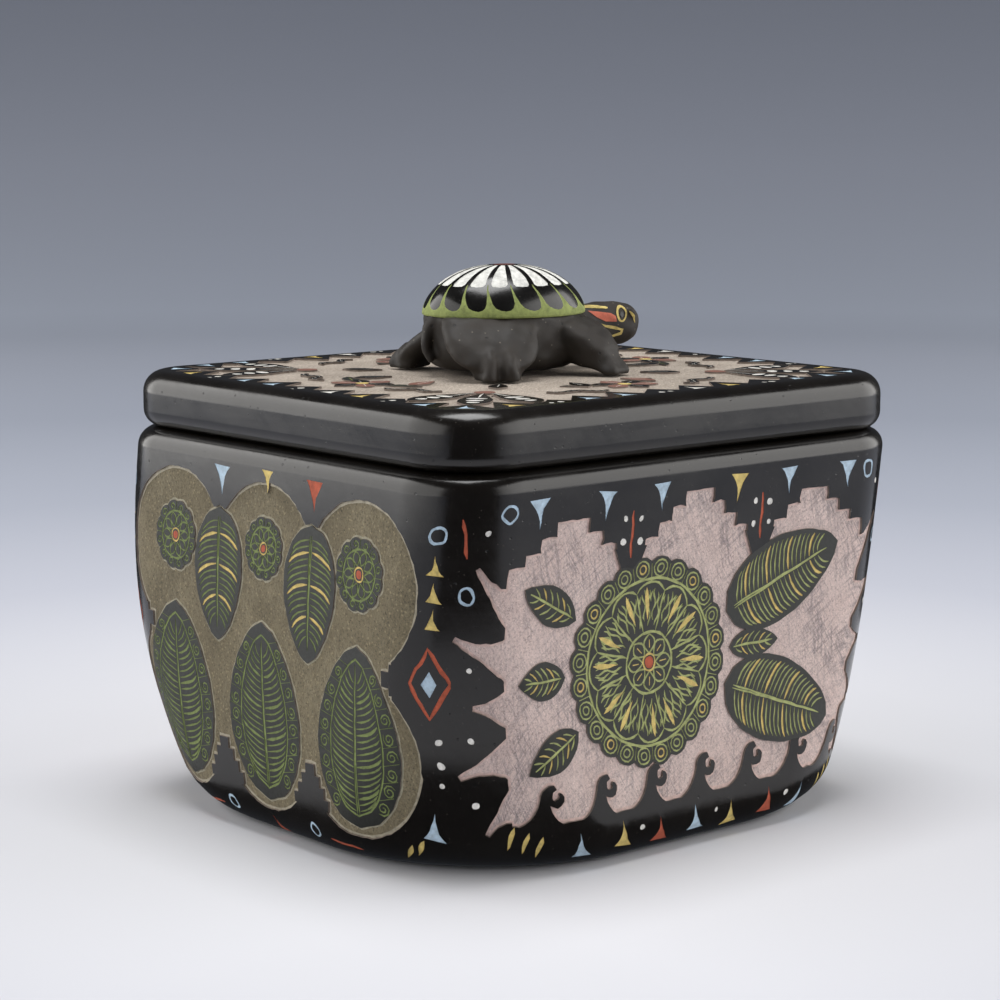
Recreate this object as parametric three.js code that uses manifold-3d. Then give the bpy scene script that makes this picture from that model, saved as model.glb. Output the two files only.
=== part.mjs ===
// A hand-built pottery box of polished black clay, with a loose lid and a turtle for a handle.
// Millimetres, +Z up. The origin is the centre of the flat foot, on the surface that the box stands on.
// +X runs along the box's longer sides, and the turtle's head looks that way.

import * as THREE from 'three';
import { mergeVertices } from 'three/addons/utils/BufferGeometryUtils.js';
import Module from 'manifold-3d';

const wasm = await Module();
wasm.setup();

// Box
const BOX_LENGTH = 96.5;
const BOX_WIDTH = 90;
const BOX_HEIGHT = 61;
const WALL_THICKNESS = 6;
const FLOOR_THICKNESS = 6;
const RIM_CORNER_RADIUS = 12.5;
const FOOT_CORNER_RADIUS = 36; // the plan grows rounder towards the foot
const CORNER_EASE = 2.76; // how soon that starts below the rim: higher is lower down
const FOOT_ROUNDING = 6.3;
const RIM_OUTER_ROUNDING = 3;
const RIM_INNER_ROUNDING = 1.2;
const INSIDE_FILLET = 5;
const MIN_INSIDE_CORNER = 3;
const BELLY_DRIFT = 1.7; // the hand-built wall leans out to one side at mid height
const BELLY_DRIFT_ANGLE = THREE.MathUtils.degToRad(139.6);

// Lid
const LID_SETBACK = 0.75; // of the lid's edge behind the box's
const LID_THICKNESS = 9;
const LID_TOP_ROUNDING = 3.4;
const LID_BOTTOM_ROUNDING = 2.8;
const FLANGE_CLEARANCE = 1; // between the flange and the mouth that it locates in
const FLANGE_THICKNESS = 5;
const FLANGE_DEPTH = 6;
const FLANGE_EDGE_ROUNDING = 1;

// Turtle handle, in its own frame: +X to the nose, z 0 on the lid's top
const TURTLE_TURN = THREE.MathUtils.degToRad(-9);
const TURTLE_PLACE = [-0.8, 0.7]; // of the shell's centre from the lid's
const SHELL_LENGTH = 28;
const SHELL_WIDTH = 22;
const SHELL_HEIGHT = 8;
const SHELL_REST_HEIGHT = 9.25; // of the shell's rim above the lid
const SHELL_FLATNESS = 2.4;
const SHELL_STEEPNESS = 0.6;
const SHELL_CROWN = 0.16; // share of the shell's width that is flat on top
const SHELL_OVERHANG = 0.4; // of the rim past the torso
const BELLY_CLEARANCE = 1.8;
const BELLY_TUCK = 3.4; // how far the belly draws in below the shell
const BELLY_CURVE = 1.6;
const FOOT_INSET_X = 3; // of a foot's centre from the shell's end
const FOOT_OUTSET_Y = 3.4; // of a foot's centre past the shell's side
const SHOULDER_INSET_X = 6.1;
const SHOULDER_INSET_Y = 0.6;
const FOOT_LENGTH = 7.8;
const FOOT_WIDTH = 6.6;
const SHIN_LENGTH = 6.8;
const SHIN_WIDTH = 5.8;
const SHOULDER_LENGTH = 10;
const SHOULDER_WIDTH = 8.2;
const HEAD_LENGTH = 14;
const HEAD_WIDTH = 6.6;
const HEAD_HEIGHT = 7;
const HEAD_CENTRE_HEIGHT = 6.9;
const NECK_OVERLAP = 2.4; // how far the head's form starts inside the torso
const TAIL_ROOT_RADIUS = 1.7;
const TAIL_TIP_RADIUS = 0.8;
const TAIL_TIP_HEIGHT = 2.3;
const TAIL_BOW = 2.3; // how far the tail bows out behind the torso
const CLAY_GAP = 0.3; // between clay pieces that are cut to fit, and under the feet

const MAX_EDGE_SHARE = 0.45; // of a thickness that the rounding of one edge may take
const MAX_CORNER_SHARE = 0.98; // of a plan's half width that its corner radius may take

const CORNER_STEPS = 9;
const ELLIPSE_STEPS = 36;
const LEG_STEPS = 18;
const TAIL_STEPS = 12;
const TAIL_LEVELS = 10;
const WALL_LEVELS = 13;
const ROUNDING_STEPS = 4;
const DOME_LEVELS = 9;
const HEAD_LEVELS = 18;

const rimOuterRounding = Math.min(RIM_OUTER_ROUNDING, WALL_THICKNESS / 2);
const rimInnerRounding = Math.min(RIM_INNER_ROUNDING, MAX_EDGE_SHARE * WALL_THICKNESS);
const lidTopRounding = Math.min(LID_TOP_ROUNDING, MAX_EDGE_SHARE * LID_THICKNESS);
const lidBottomRounding = Math.min(LID_BOTTOM_ROUNDING, MAX_EDGE_SHARE * LID_THICKNESS);
const flangeRounding = Math.min(FLANGE_EDGE_ROUNDING, MAX_EDGE_SHARE * Math.min(FLANGE_THICKNESS, FLANGE_DEPTH));
const torsoHalfX = SHELL_LENGTH / 2 - SHELL_OVERHANG;
const torsoHalfY = SHELL_WIDTH / 2 - SHELL_OVERHANG;
const torsoTop = SHELL_REST_HEIGHT - CLAY_GAP;

const clay = {
  polished: new THREE.MeshStandardMaterial({ color: 0x16161a, roughness: 0.25, metalness: 0 }),
  matte: new THREE.MeshStandardMaterial({ color: 0x2b2622, roughness: 0.75, metalness: 0 }),
  shell: new THREE.MeshStandardMaterial({ color: 0x1d2016, roughness: 0.35, metalness: 0 }),
};

// Outline of a rounded rectangle at one height, counter-clockwise seen from above.
function roundedRing(halfX, halfY, radius, z, centre = [0, 0]) {
  const r = Math.min(radius, halfX * MAX_CORNER_SHARE, halfY * MAX_CORNER_SHARE);
  const corners = [
    [halfX - r, -(halfY - r), -0.5 * Math.PI],
    [halfX - r, halfY - r, 0],
    [-(halfX - r), halfY - r, 0.5 * Math.PI],
    [-(halfX - r), -(halfY - r), Math.PI],
  ];
  return corners.flatMap(([x, y, start]) =>
    Array.from({ length: CORNER_STEPS + 1 }, (_, i) => {
      const angle = start + (0.5 * Math.PI * i) / CORNER_STEPS;
      return [centre[0] + x + r * Math.cos(angle), centre[1] + y + r * Math.sin(angle), z];
    }));
}

function ellipseRing(radiusX, radiusY, z, centre = [0, 0], steps = ELLIPSE_STEPS) {
  return Array.from({ length: steps }, (_, i) => {
    const angle = (2 * Math.PI * i) / steps;
    return [centre[0] + radiusX * Math.cos(angle), centre[1] + radiusY * Math.sin(angle), z];
  });
}

// Joins rings of equal point counts into one closed solid. A hollow loft closes its last ring on its
// first, as a wall does. Otherwise both ends are capped.
function loft(rings, hollow = false) {
  const count = rings[0].length;
  const positions = rings.flat(2);
  const indices = [];
  const bands = hollow ? rings.length : rings.length - 1;
  for (let band = 0; band < bands; band += 1) {
    const low = band * count;
    const high = ((band + 1) % rings.length) * count;
    for (let i = 0; i < count; i += 1) {
      const next = (i + 1) % count;
      indices.push(low + i, low + next, high + next, low + i, high + next, high + i);
    }
  }
  const cap = (ring, first, facesUp) => {
    const middle = positions.length / 3;
    positions.push(...[0, 1, 2].map((axis) => ring.reduce((sum, point) => sum + point[axis], 0) / count));
    for (let i = 0; i < count; i += 1) {
      const edge = [first + i, first + ((i + 1) % count)];
      indices.push(middle, ...(facesUp ? edge : edge.reverse()));
    }
  };
  if (!hollow) {
    cap(rings[0], 0, false);
    cap(rings.at(-1), (rings.length - 1) * count, true);
  }
  const geometry = new THREE.BufferGeometry();
  geometry.setAttribute('position', new THREE.Float32BufferAttribute(positions, 3));
  geometry.setIndex(indices);
  return geometry;
}

function toSolid(geometry) {
  const bare = geometry.clone();
  bare.deleteAttribute('normal');
  bare.deleteAttribute('uv');
  const merged = mergeVertices(bare);
  return new wasm.Manifold(new wasm.Mesh({
    numProp: 3,
    vertProperties: new Float32Array(merged.attributes.position.array),
    triVerts: new Uint32Array(merged.index.array),
  }));
}

function toGeometry(solid) {
  const { vertProperties, triVerts } = solid.getMesh();
  const geometry = new THREE.BufferGeometry();
  geometry.setAttribute('position', new THREE.Float32BufferAttribute(vertProperties, 3));
  geometry.setIndex([...triVerts]);
  return geometry;
}

function cut(geometry, ...tools) {
  return toGeometry(tools.reduce((solid, tool) => solid.subtract(toSolid(tool)), toSolid(geometry)));
}

function named(name, geometry, material) {
  const mesh = new THREE.Mesh(geometry, material);
  mesh.name = name;
  return mesh;
}

// How far a quarter-round edge has drawn in, at a depth from 0 at its end face to its radius.
function roundingInset(radius, depth) {
  return radius - Math.sqrt(Math.max(radius ** 2 - (radius - depth) ** 2, 0));
}

// Shares from 0 to 1 that lie close together at 0, where a rounding turns fastest.
function easedSteps(count) {
  return Array.from({ length: count + 1 }, (_, i) => 1 - Math.cos((0.5 * Math.PI * i) / count));
}

function evenSteps(from, to, count) {
  return Array.from({ length: count }, (_, i) => THREE.MathUtils.lerp(from, to, i / (count - 1)));
}

// The box's plan at a height above its foot, drawn in by an inset.
function boxPlan(z, inset) {
  const share = z / BOX_HEIGHT;
  const radius = THREE.MathUtils.lerp(RIM_CORNER_RADIUS, FOOT_CORNER_RADIUS, (1 - share) ** CORNER_EASE);
  const drift = BELLY_DRIFT * Math.sin(Math.PI * share);
  return {
    halfX: BOX_LENGTH / 2 - inset,
    halfY: BOX_WIDTH / 2 - inset,
    radius: Math.max(radius - inset, MIN_INSIDE_CORNER),
    centre: [drift * Math.cos(BELLY_DRIFT_ANGLE), drift * Math.sin(BELLY_DRIFT_ANGLE)],
  };
}

function boxRing(z, inset) {
  const { halfX, halfY, radius, centre } = boxPlan(z, inset);
  return roundedRing(halfX, halfY, radius, z, centre);
}

function outerRing(z) {
  return boxRing(z, z < FOOT_ROUNDING ? roundingInset(FOOT_ROUNDING, z) : 0);
}

function boxFloor() {
  const heights = easedSteps(2 * ROUNDING_STEPS)
    .map((share) => share * FOOT_ROUNDING)
    .filter((z) => z < FLOOR_THICKNESS);
  return loft([...heights, FLOOR_THICKNESS].map(outerRing));
}

// The coiled wall: up its outside, over the rounded rim, and down its inside to the fillet on the floor.
function boxWall() {
  const filletTop = FLOOR_THICKNESS + INSIDE_FILLET;
  const outside = evenSteps(FLOOR_THICKNESS, BOX_HEIGHT - rimOuterRounding, WALL_LEVELS).map(outerRing);
  const rimSteps = easedSteps(ROUNDING_STEPS).slice(0, -1);
  const rimOutside = rimSteps.toReversed().map((share) => {
    const depth = share * rimOuterRounding;
    return boxRing(BOX_HEIGHT - depth, roundingInset(rimOuterRounding, depth));
  });
  const rimInside = rimSteps.map((share) => {
    const depth = share * rimInnerRounding;
    return boxRing(BOX_HEIGHT - depth, WALL_THICKNESS - roundingInset(rimInnerRounding, depth));
  });
  const inside = evenSteps(BOX_HEIGHT - rimInnerRounding, filletTop, WALL_LEVELS)
    .map((z) => boxRing(z, WALL_THICKNESS));
  const fillet = rimSteps.toReversed().map((share) => {
    const rise = share * INSIDE_FILLET;
    return boxRing(FLOOR_THICKNESS + rise, WALL_THICKNESS + roundingInset(INSIDE_FILLET, rise));
  });
  return loft([...outside, ...rimOutside, ...rimInside, ...inside, ...fillet], true);
}

// The lid's plate, in the lid's frame: z 0 is the face that rests on the rim.
function lidPlate() {
  const edge = (z, inset) => {
    const { halfX, halfY, radius } = boxPlan(BOX_HEIGHT, LID_SETBACK + inset);
    return roundedRing(halfX, halfY, radius, z);
  };
  const steps = easedSteps(ROUNDING_STEPS);
  const lower = steps.map((share) => {
    const rise = share * lidBottomRounding;
    return edge(rise, roundingInset(lidBottomRounding, rise));
  });
  const upper = steps.toReversed().map((share) => {
    const depth = share * lidTopRounding;
    return edge(LID_THICKNESS - depth, roundingInset(lidTopRounding, depth));
  });
  return loft([...lower, ...upper]);
}

// The flange under the lid takes its plan from the box's mouth, less its clearance.
function lidFlange() {
  const outer = WALL_THICKNESS + FLANGE_CLEARANCE;
  const inner = outer + FLANGE_THICKNESS;
  const edge = (depth, inset) => {
    const { halfX, halfY, radius } = boxPlan(BOX_HEIGHT, inset);
    return roundedRing(halfX, halfY, radius, -depth);
  };
  return loft([
    edge(0, inner),
    edge(FLANGE_DEPTH - flangeRounding, inner),
    edge(FLANGE_DEPTH, inner - flangeRounding),
    edge(FLANGE_DEPTH, outer + flangeRounding),
    edge(FLANGE_DEPTH - flangeRounding, outer),
    edge(0, outer),
  ], true);
}

// The domed shell. A spare all round makes the tool that cuts its neighbours.
function turtleShell(spare = 0) {
  const fullDrop = 1 - SHELL_CROWN ** SHELL_FLATNESS;
  const rings = easedSteps(DOME_LEVELS).map((step) => {
    const share = 1 - (1 - SHELL_CROWN) * step;
    const rise = SHELL_HEIGHT * ((1 - share ** SHELL_FLATNESS) / fullDrop) ** SHELL_STEEPNESS;
    return ellipseRing(
      share * (SHELL_LENGTH / 2 + spare),
      share * (SHELL_WIDTH / 2 + spare),
      SHELL_REST_HEIGHT - spare + rise,
    );
  });
  return loft(rings);
}

// The body under the shell, narrowing to the belly. Its spare works as the shell's does.
function turtleTorso(spare = 0) {
  const rings = easedSteps(ROUNDING_STEPS).map((step, i) => {
    const inset = BELLY_TUCK * (1 - i / ROUNDING_STEPS) ** BELLY_CURVE - spare;
    const z = THREE.MathUtils.lerp(BELLY_CLEARANCE - spare, torsoTop + spare, step);
    return ellipseRing(torsoHalfX - inset, torsoHalfY - inset, z);
  });
  return loft(rings);
}

// A leg stands on its foot, leans in to the shoulder and closes just below the shell's rim.
function turtleLeg(forward, side) {
  const foot = [SHELL_LENGTH / 2 - FOOT_INSET_X, SHELL_WIDTH / 2 + FOOT_OUTSET_Y];
  const shoulder = [SHELL_LENGTH / 2 - SHOULDER_INSET_X, SHELL_WIDTH / 2 - SHOULDER_INSET_Y];
  const middle = { length: (SHIN_LENGTH + SHOULDER_LENGTH) / 2, width: (SHIN_WIDTH + SHOULDER_WIDTH) / 2 };
  const stations = [
    { rise: 0, lean: 0, length: FOOT_LENGTH, width: FOOT_WIDTH, taper: 1 },
    { rise: 0.1, lean: 0, length: FOOT_LENGTH, width: FOOT_WIDTH, taper: 1 },
    { rise: 0.28, lean: 0.1, length: SHIN_LENGTH, width: SHIN_WIDTH, taper: 1 },
    { rise: 0.5, lean: 0.43, ...middle, taper: 1 },
    { rise: 0.75, lean: 0.75, length: SHOULDER_LENGTH, width: SHOULDER_WIDTH, taper: 1 },
    { rise: 0.93, lean: 1, length: SHOULDER_LENGTH, width: SHOULDER_WIDTH, taper: 0.8 },
    { rise: 1, lean: 1, length: SHOULDER_LENGTH, width: SHOULDER_WIDTH, taper: 0.5 },
  ];
  const leg = loft(stations.map(({ rise, lean, length, width, taper }) => {
    const centre = [
      forward * THREE.MathUtils.lerp(foot[0], shoulder[0], lean),
      side * THREE.MathUtils.lerp(foot[1], shoulder[1], lean),
    ];
    const z = THREE.MathUtils.lerp(CLAY_GAP, torsoTop, rise);
    return ellipseRing((taper * length) / 2, (taper * width) / 2, z, centre, LEG_STEPS);
  }));
  return cut(leg, turtleTorso(CLAY_GAP));
}

function turtleHead() {
  const head = new THREE.SphereGeometry(0.5, ELLIPSE_STEPS, HEAD_LEVELS)
    .rotateX(0.5 * Math.PI)
    .scale(HEAD_LENGTH, HEAD_WIDTH, HEAD_HEIGHT)
    .translate(torsoHalfX - NECK_OVERLAP + HEAD_LENGTH / 2, 0, HEAD_CENTRE_HEIGHT);
  return cut(head, turtleTorso(CLAY_GAP), turtleShell(CLAY_GAP));
}

// The tail hooks down behind the torso, along a half-ellipse bowed backwards, and thins to its tip.
function turtleTail() {
  const rootHeight = torsoTop - TAIL_ROOT_RADIUS;
  const halfDrop = (rootHeight - TAIL_TIP_HEIGHT) / 2;
  const rings = Array.from({ length: TAIL_LEVELS + 1 }, (_, i) => {
    const turn = (Math.PI * (i + 1)) / (TAIL_LEVELS + 2);
    const centre = [-torsoHalfX - TAIL_BOW * Math.sin(turn), rootHeight - halfDrop * (1 - Math.cos(turn))];
    const along = new THREE.Vector2(-TAIL_BOW * Math.cos(turn), -halfDrop * Math.sin(turn)).normalize();
    const radius = THREE.MathUtils.lerp(TAIL_ROOT_RADIUS, TAIL_TIP_RADIUS, i / TAIL_LEVELS);
    return Array.from({ length: TAIL_STEPS }, (_, k) => {
      const angle = (-2 * Math.PI * k) / TAIL_STEPS;
      const across = radius * Math.cos(angle);
      return [centre[0] - across * along.y, radius * Math.sin(angle), centre[1] + across * along.x];
    });
  });
  return cut(loft(rings), turtleTorso(CLAY_GAP));
}

function turtle() {
  const group = new THREE.Group();
  group.add(named('turtle_torso', turtleTorso(), clay.matte));
  group.add(named('turtle_shell', turtleShell(), clay.shell));
  group.add(named('turtle_head', turtleHead(), clay.matte));
  group.add(named('turtle_tail', turtleTail(), clay.matte));
  for (const [end, forward] of [['front', 1], ['rear', -1]]) {
    for (const [hand, side] of [['left', 1], ['right', -1]]) {
      group.add(named(`turtle_leg_${end}_${hand}`, turtleLeg(forward, side), clay.matte));
    }
  }
  group.rotation.z = TURTLE_TURN;
  group.position.set(...TURTLE_PLACE, LID_THICKNESS);
  return group;
}

function box() {
  const group = new THREE.Group();
  group.add(named('box_floor', boxFloor(), clay.polished));
  group.add(named('box_wall', boxWall(), clay.polished));
  return group;
}

function lid() {
  const group = new THREE.Group();
  group.add(named('lid_plate', lidPlate(), clay.polished));
  group.add(named('lid_flange', lidFlange(), clay.matte));
  group.add(turtle());
  group.position.z = BOX_HEIGHT;
  return group;
}

const model = new THREE.Group();
model.add(box(), lid());
export default model;
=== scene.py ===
"""Looks of a lidded box of smoke-blackened clay: polished, carved and incised, with a turtle for a handle."""

import math

import bpy
import numpy as np
from mathutils import Matrix, Vector
from mathutils.bvhtree import BVHTree
from mathutils.geometry import delaunay_2d_cdt


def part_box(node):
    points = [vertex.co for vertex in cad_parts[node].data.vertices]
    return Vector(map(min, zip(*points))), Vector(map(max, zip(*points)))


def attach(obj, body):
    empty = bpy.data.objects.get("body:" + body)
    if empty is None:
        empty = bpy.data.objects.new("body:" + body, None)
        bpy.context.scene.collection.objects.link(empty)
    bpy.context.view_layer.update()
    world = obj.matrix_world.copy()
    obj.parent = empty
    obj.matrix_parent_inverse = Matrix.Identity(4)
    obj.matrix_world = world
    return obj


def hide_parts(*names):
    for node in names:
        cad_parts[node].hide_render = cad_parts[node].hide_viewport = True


MM = 0.001
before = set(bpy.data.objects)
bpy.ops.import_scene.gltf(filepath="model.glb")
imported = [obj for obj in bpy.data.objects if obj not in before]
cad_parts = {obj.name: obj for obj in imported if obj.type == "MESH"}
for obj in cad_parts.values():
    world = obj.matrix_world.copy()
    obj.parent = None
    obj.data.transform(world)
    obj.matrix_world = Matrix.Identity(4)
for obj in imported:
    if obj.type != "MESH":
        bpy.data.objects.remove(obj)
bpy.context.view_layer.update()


def node_box(name):
    """A CAD node's lowest and highest corners, in millimetres."""
    return [np.array(corner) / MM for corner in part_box(name)]


# Sizes in millimetres. Overall ones come from the frame.
floor_low, floor_high = node_box("box_floor")
lid_low, lid_high = node_box("lid_plate")
flange_low, flange_high = node_box("lid_flange")
shell_low, shell_high = node_box("turtle_shell")

BOX_HALF = (floor_high - floor_low)[:2] / 2
BOX_HEIGHT = node_box("box_wall")[1][2]
WALL = 6.0
FLOOR = floor_high[2]
RIM_CORNER = 12.5
FOOT_CORNER = 36.0
CORNER_EASE = 2.76
FOOT_ROUNDING = 6.3
RIM_OUTER_ROUNDING = 3.0
RIM_INNER_ROUNDING = 1.2
INSIDE_FILLET = 5.0
MIN_CORNER = 3.0
DRIFT = 1.7
DRIFT_ANGLE = math.radians(139.6)
UNEVENNESS = 0.05  # of the hand-scraped faces, always inwards

LID_HALF = (lid_high - lid_low)[:2] / 2
LID_TOP = lid_high[2]
LID_TOP_ROUNDING = 3.4
LID_BOTTOM_ROUNDING = 2.8
LID_CORNER = RIM_CORNER - (BOX_HALF[0] - LID_HALF[0])
LID_STEP_FILLET = 0.8
FLANGE_EDGE = 1.0
FLANGE_THICKNESS = 5.0
RECESS_FILLET = 2.0

TURTLE_PLACE = ((shell_low + shell_high) / 2)[:2]
TURTLE_TURN = math.radians(-9)
SHELL_BASE, SHELL_TOP = shell_low[2], shell_high[2]
SHELL_HALF = (14.0, 11.0)
SHELL_FLATNESS = 2.4
SHELL_STEEPNESS = 0.6
SHELL_EDGE = 0.35
CLAY_GRAIN = 0.34  # of the turtle's remeshed body
CLAY_WAVER = 0.09
CLAY_REST = 0.04  # the lowest clay's height over the lid
MARK_LIFT = 0.07  # of the head's paint above its clay
MARK_STEP, MARK_GRID = 0.3, 0.35
WELD_GRID = 2000  # places to a millimetre, on which points are welded

# Carving depths below the polish
GROUND_DEPTH = 0.34
EDGE_DEPTH = GROUND_DEPTH - 0.03
EDGE_WIDTH = 0.85
EDGE_STEP = 1.2
BARE_STEP = 0.15  # steeper ones between depths show the clay's own colour
LINE_DEPTH = 0.17
MOTIF_DEPTH = 0.1
PAINT_DEPTH = 0.05

# The photograph's camera, solved from the lid's edges and the box's outline
VIEW_TURN = math.radians(-40.42)  # its place round the box, from the box's front
VIEW_RISE = math.radians(8.556)
VIEW_DISTANCE = 433.667
VIEW_SHIFT = (1.713, 48.055)  # left and up
LENS, SENSOR = 93.6, 36

# The table's rings, and where it stays dark in reflections, as the opening that a camera looks through does
TABLE_RINGS = (1, 40, 62, 78, 120, 160, 200, 230, 260, 300, 400, 500, 600, 750, 900)
TABLE_SIDES = 120
DARK_MIDDLE = 2  # rings
LIT_RINGS = (3, 4)  # the only ones that show inside the opening
OPENING = (-26, 38)  # bearings from the camera, in degrees
BEHIND = 128  # the opening goes on beyond this bearing


def linear(colour, share=1.0, lift=0):
    """A colour of display values from 0 to 255, scaled and lifted, as the shader's linear one."""
    values = [min(255, value * share + lift) / 255 for value in colour]
    return [v / 12.92 if v <= 0.04045 else ((v + 0.055) / 1.055) ** 2.4 for v in values] + [1.0]


# Forms that wrap a rounded-square plan: lines and arcs of (z, inset), each with its length and steps


def line_segment(start, end, steps):
    (z0, inset0), (z1, inset1) = start, end
    length = math.hypot(z1 - z0, inset1 - inset0)
    return length, steps, lambda d: (z0 + (z1 - z0) * d / length, inset0 + (inset1 - inset0) * d / length)


def arc_segment(centre, radius, start, end, steps):
    """An arc about (z, inset). Angle 0 faces straight out of the wall and 90 faces up."""
    z, inset = centre
    a0, a1 = math.radians(start), math.radians(end)
    length = radius * abs(a1 - a0)

    def at(d):
        angle = a0 + (a1 - a0) * d / length
        return z + radius * np.sin(angle), inset - radius * np.cos(angle)

    return length, steps, at


class Skin:
    """A surface of points at (face, s, t).

    s goes from -1 to 1 along one face, corner to corner, and t along the profile."""

    def __init__(self, half, corner, drift, segments):
        self.half = half
        self.corner = corner
        self.drift = drift
        self.segments = segments
        self.starts = np.cumsum([0] + [s[0] for s in segments])

    def profile(self, t):
        t = np.asarray(t, float)
        z, inset = np.empty_like(t), np.empty_like(t)
        which = np.clip(np.searchsorted(self.starts, t, side="right") - 1, 0, len(self.segments) - 1)
        for i, (_, _, at) in enumerate(self.segments):
            here = which == i
            if here.any():
                z[here], inset[here] = at(t[here] - self.starts[i])
        return z, inset

    def point(self, face, s, t):
        s, t = np.broadcast_arrays(np.asarray(s, float), np.asarray(t, float))
        z, inset = self.profile(t)
        turn = 0.5 * math.pi * (face + s / 2)
        inset = inset + UNEVENNESS * (1 + np.sin(3 * turn + 1.3) * np.sin(z / 9 + 0.5) * np.cos(5 * turn))
        along, across = (self.half[0], self.half[1]) if face % 2 == 0 else (self.half[1], self.half[0])
        radius = np.maximum(self.corner(z) - inset, MIN_CORNER)
        straight = along - inset - radius
        arc = np.abs(s) * (straight + math.pi * radius / 4) - straight
        angle = np.clip(arc / radius, 0, None)
        x = np.sign(s) * np.where(arc > 0, straight + radius * np.sin(angle), straight + arc)
        y = -(across - inset - radius + radius * np.cos(angle))
        cos, sin = round(math.cos(0.5 * math.pi * face)), round(math.sin(0.5 * math.pi * face))
        cx, cy = self.drift(z)
        return np.stack([x * cos - y * sin + cx, x * sin + y * cos + cy, z], axis=-1)

    def normal(self, face, s, t, step=0.01):
        wide = self.half[0]
        ds = self.point(face, s + step / wide, t) - self.point(face, s - step / wide, t)
        dt = self.point(face, s, t + step) - self.point(face, s, t - step)
        n = np.cross(ds, dt)
        return n / np.maximum(np.linalg.norm(n, axis=-1, keepdims=True), 1e-12)

    def levels(self, start, end):
        """Places along the profile, as close together as its segments ask."""
        found = [start, end]
        for base, (length, steps, _) in zip(self.starts, self.segments):
            found += [base + length * k / steps for k in range(steps + 1)]
        return np.unique(np.round([t for t in found if start <= t <= end], 6))

    def rim(self, t):
        """The points all the way round at one place on the profile."""
        return np.concatenate([self.point(face, columns()[:-1], t) for face in range(4)])


class Mesh:
    """Collects patches of points, faces and their exact normals, then welds them into one object."""

    def __init__(self):
        self.points, self.normals, self.faces, self.finishes, self.flat = [], [], [], [], []
        self.count = 0

    def add(self, points, normals, faces, finishes, flat=False):
        """Adds a patch. finishes is one name, or a name for each face."""
        self.points.append(np.asarray(points, float))
        self.normals.append(np.asarray(normals, float))
        self.faces += [tuple(int(i) + self.count for i in face) for face in faces]
        self.finishes += [finishes] * len(faces) if isinstance(finishes, str) else list(finishes)
        self.flat += [flat] * len(faces)
        self.count += len(points)

    def object(self, name, finishes):
        points, normals = np.concatenate(self.points), np.concatenate(self.normals)
        keys = np.round(points * WELD_GRID).astype(np.int64)
        _, first, welded = np.unique(keys, axis=0, return_index=True, return_inverse=True)
        welded = welded.ravel()
        kept, loops, slots = [], [], []
        for face, finish, flat in zip(self.faces, self.finishes, self.flat):
            corners = [welded[i] for i in face]
            keep = [k for k in range(len(face)) if corners[k] != corners[k - 1]]
            if len({corners[k] for k in keep}) < 3:
                continue
            kept.append([int(corners[k]) for k in keep])
            slots.append(finish)
            if flat:
                p = points[first[kept[-1]]]
                n = np.cross(p - np.roll(p, 1, axis=0), np.roll(p, -1, axis=0) - p).sum(axis=0)
                loops += [n / max(np.linalg.norm(n), 1e-12)] * len(keep)
            else:
                loops += [normals[face[k]] for k in keep]
        mesh = bpy.data.meshes.new(name)
        mesh.from_pydata((points[first] * MM).tolist(), [], kept)
        present = set(slots)
        used = [finish for finish in finishes if finish in present]
        for finish in used:
            mesh.materials.append(finishes[finish])
        mesh.polygons.foreach_set("material_index", [used.index(finish) for finish in slots])
        mesh.polygons.foreach_set("use_smooth", [True] * len(kept))
        mesh.normals_split_custom_set([tuple(n) for n in loops])
        mesh.update()
        return place_object(name, mesh)


def place_object(name, data):
    item = bpy.data.objects.new(name, data)
    bpy.context.scene.collection.objects.link(item)
    return item


def columns(straight=0.7, count=15):
    """Places along one face, close together where its corners turn."""
    half = np.concatenate([np.linspace(0, straight, count)[:-1], np.linspace(straight, 1, count)])
    return np.concatenate([-half[:0:-1], half])


def bands(rows, wide, closed=False, flip=False):
    """Faces between rows of points. In closed rows the last point is next to the first."""
    faces = [(r * wide + c, r * wide + (c + 1) % wide, (r + 1) * wide + (c + 1) % wide, (r + 1) * wide + c)
             for r in range(rows - 1) for c in range(wide if closed else wide - 1)]
    return [(a, d, c, b) for a, b, c, d in faces] if flip else faces


def cap(wide, first, middle, flip=False):
    """Faces from a closed row of points to a middle point."""
    rows = [(first + i, first + (i + 1) % wide, middle) for i in range(wide)]
    return [(b, a, c) for a, b, c in rows] if flip else rows


def wrap(mesh, skin, start, end, finish):
    """Adds the skin's surface between two places on its profile, all the way round."""
    s, t = columns(), skin.levels(start, end)
    for face in range(4):
        grid_s, grid_t = [grid.ravel() for grid in np.meshgrid(s, t)]
        points, normals = skin.point(face, grid_s, grid_t), skin.normal(face, grid_s, grid_t)
        mesh.add(points, normals, bands(len(t), len(s)), finish)


def close(mesh, skin, t, up, finish):
    """Closes the skin at one place on its profile with a flat cap that faces up or down."""
    rim = skin.rim(t)
    points = np.vstack([rim, np.append(rim[:, :2].mean(axis=0), rim[0, 2])])
    mesh.add(points, [(0, 0, 1 if up else -1)] * len(points), cap(len(rim), 0, len(rim), not up), finish)


# Carved and painted drawings


def open_steps(points, step):
    """A line with extra points, so that no part of it is longer than the step."""
    points = np.asarray(points, float)
    out = []
    for a, b in zip(points[:-1], points[1:]):
        count = max(1, math.ceil(np.linalg.norm(b - a) / step))
        out += [a + (b - a) * k / count for k in range(count)]
    return np.array(out + [points[-1]])


def closed_steps(points, step):
    return open_steps([*points, points[0]], step)[:-1]


def loop_edges(count, base=0):
    return [(base + i, base + (i + 1) % count) for i in range(count)]


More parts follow.
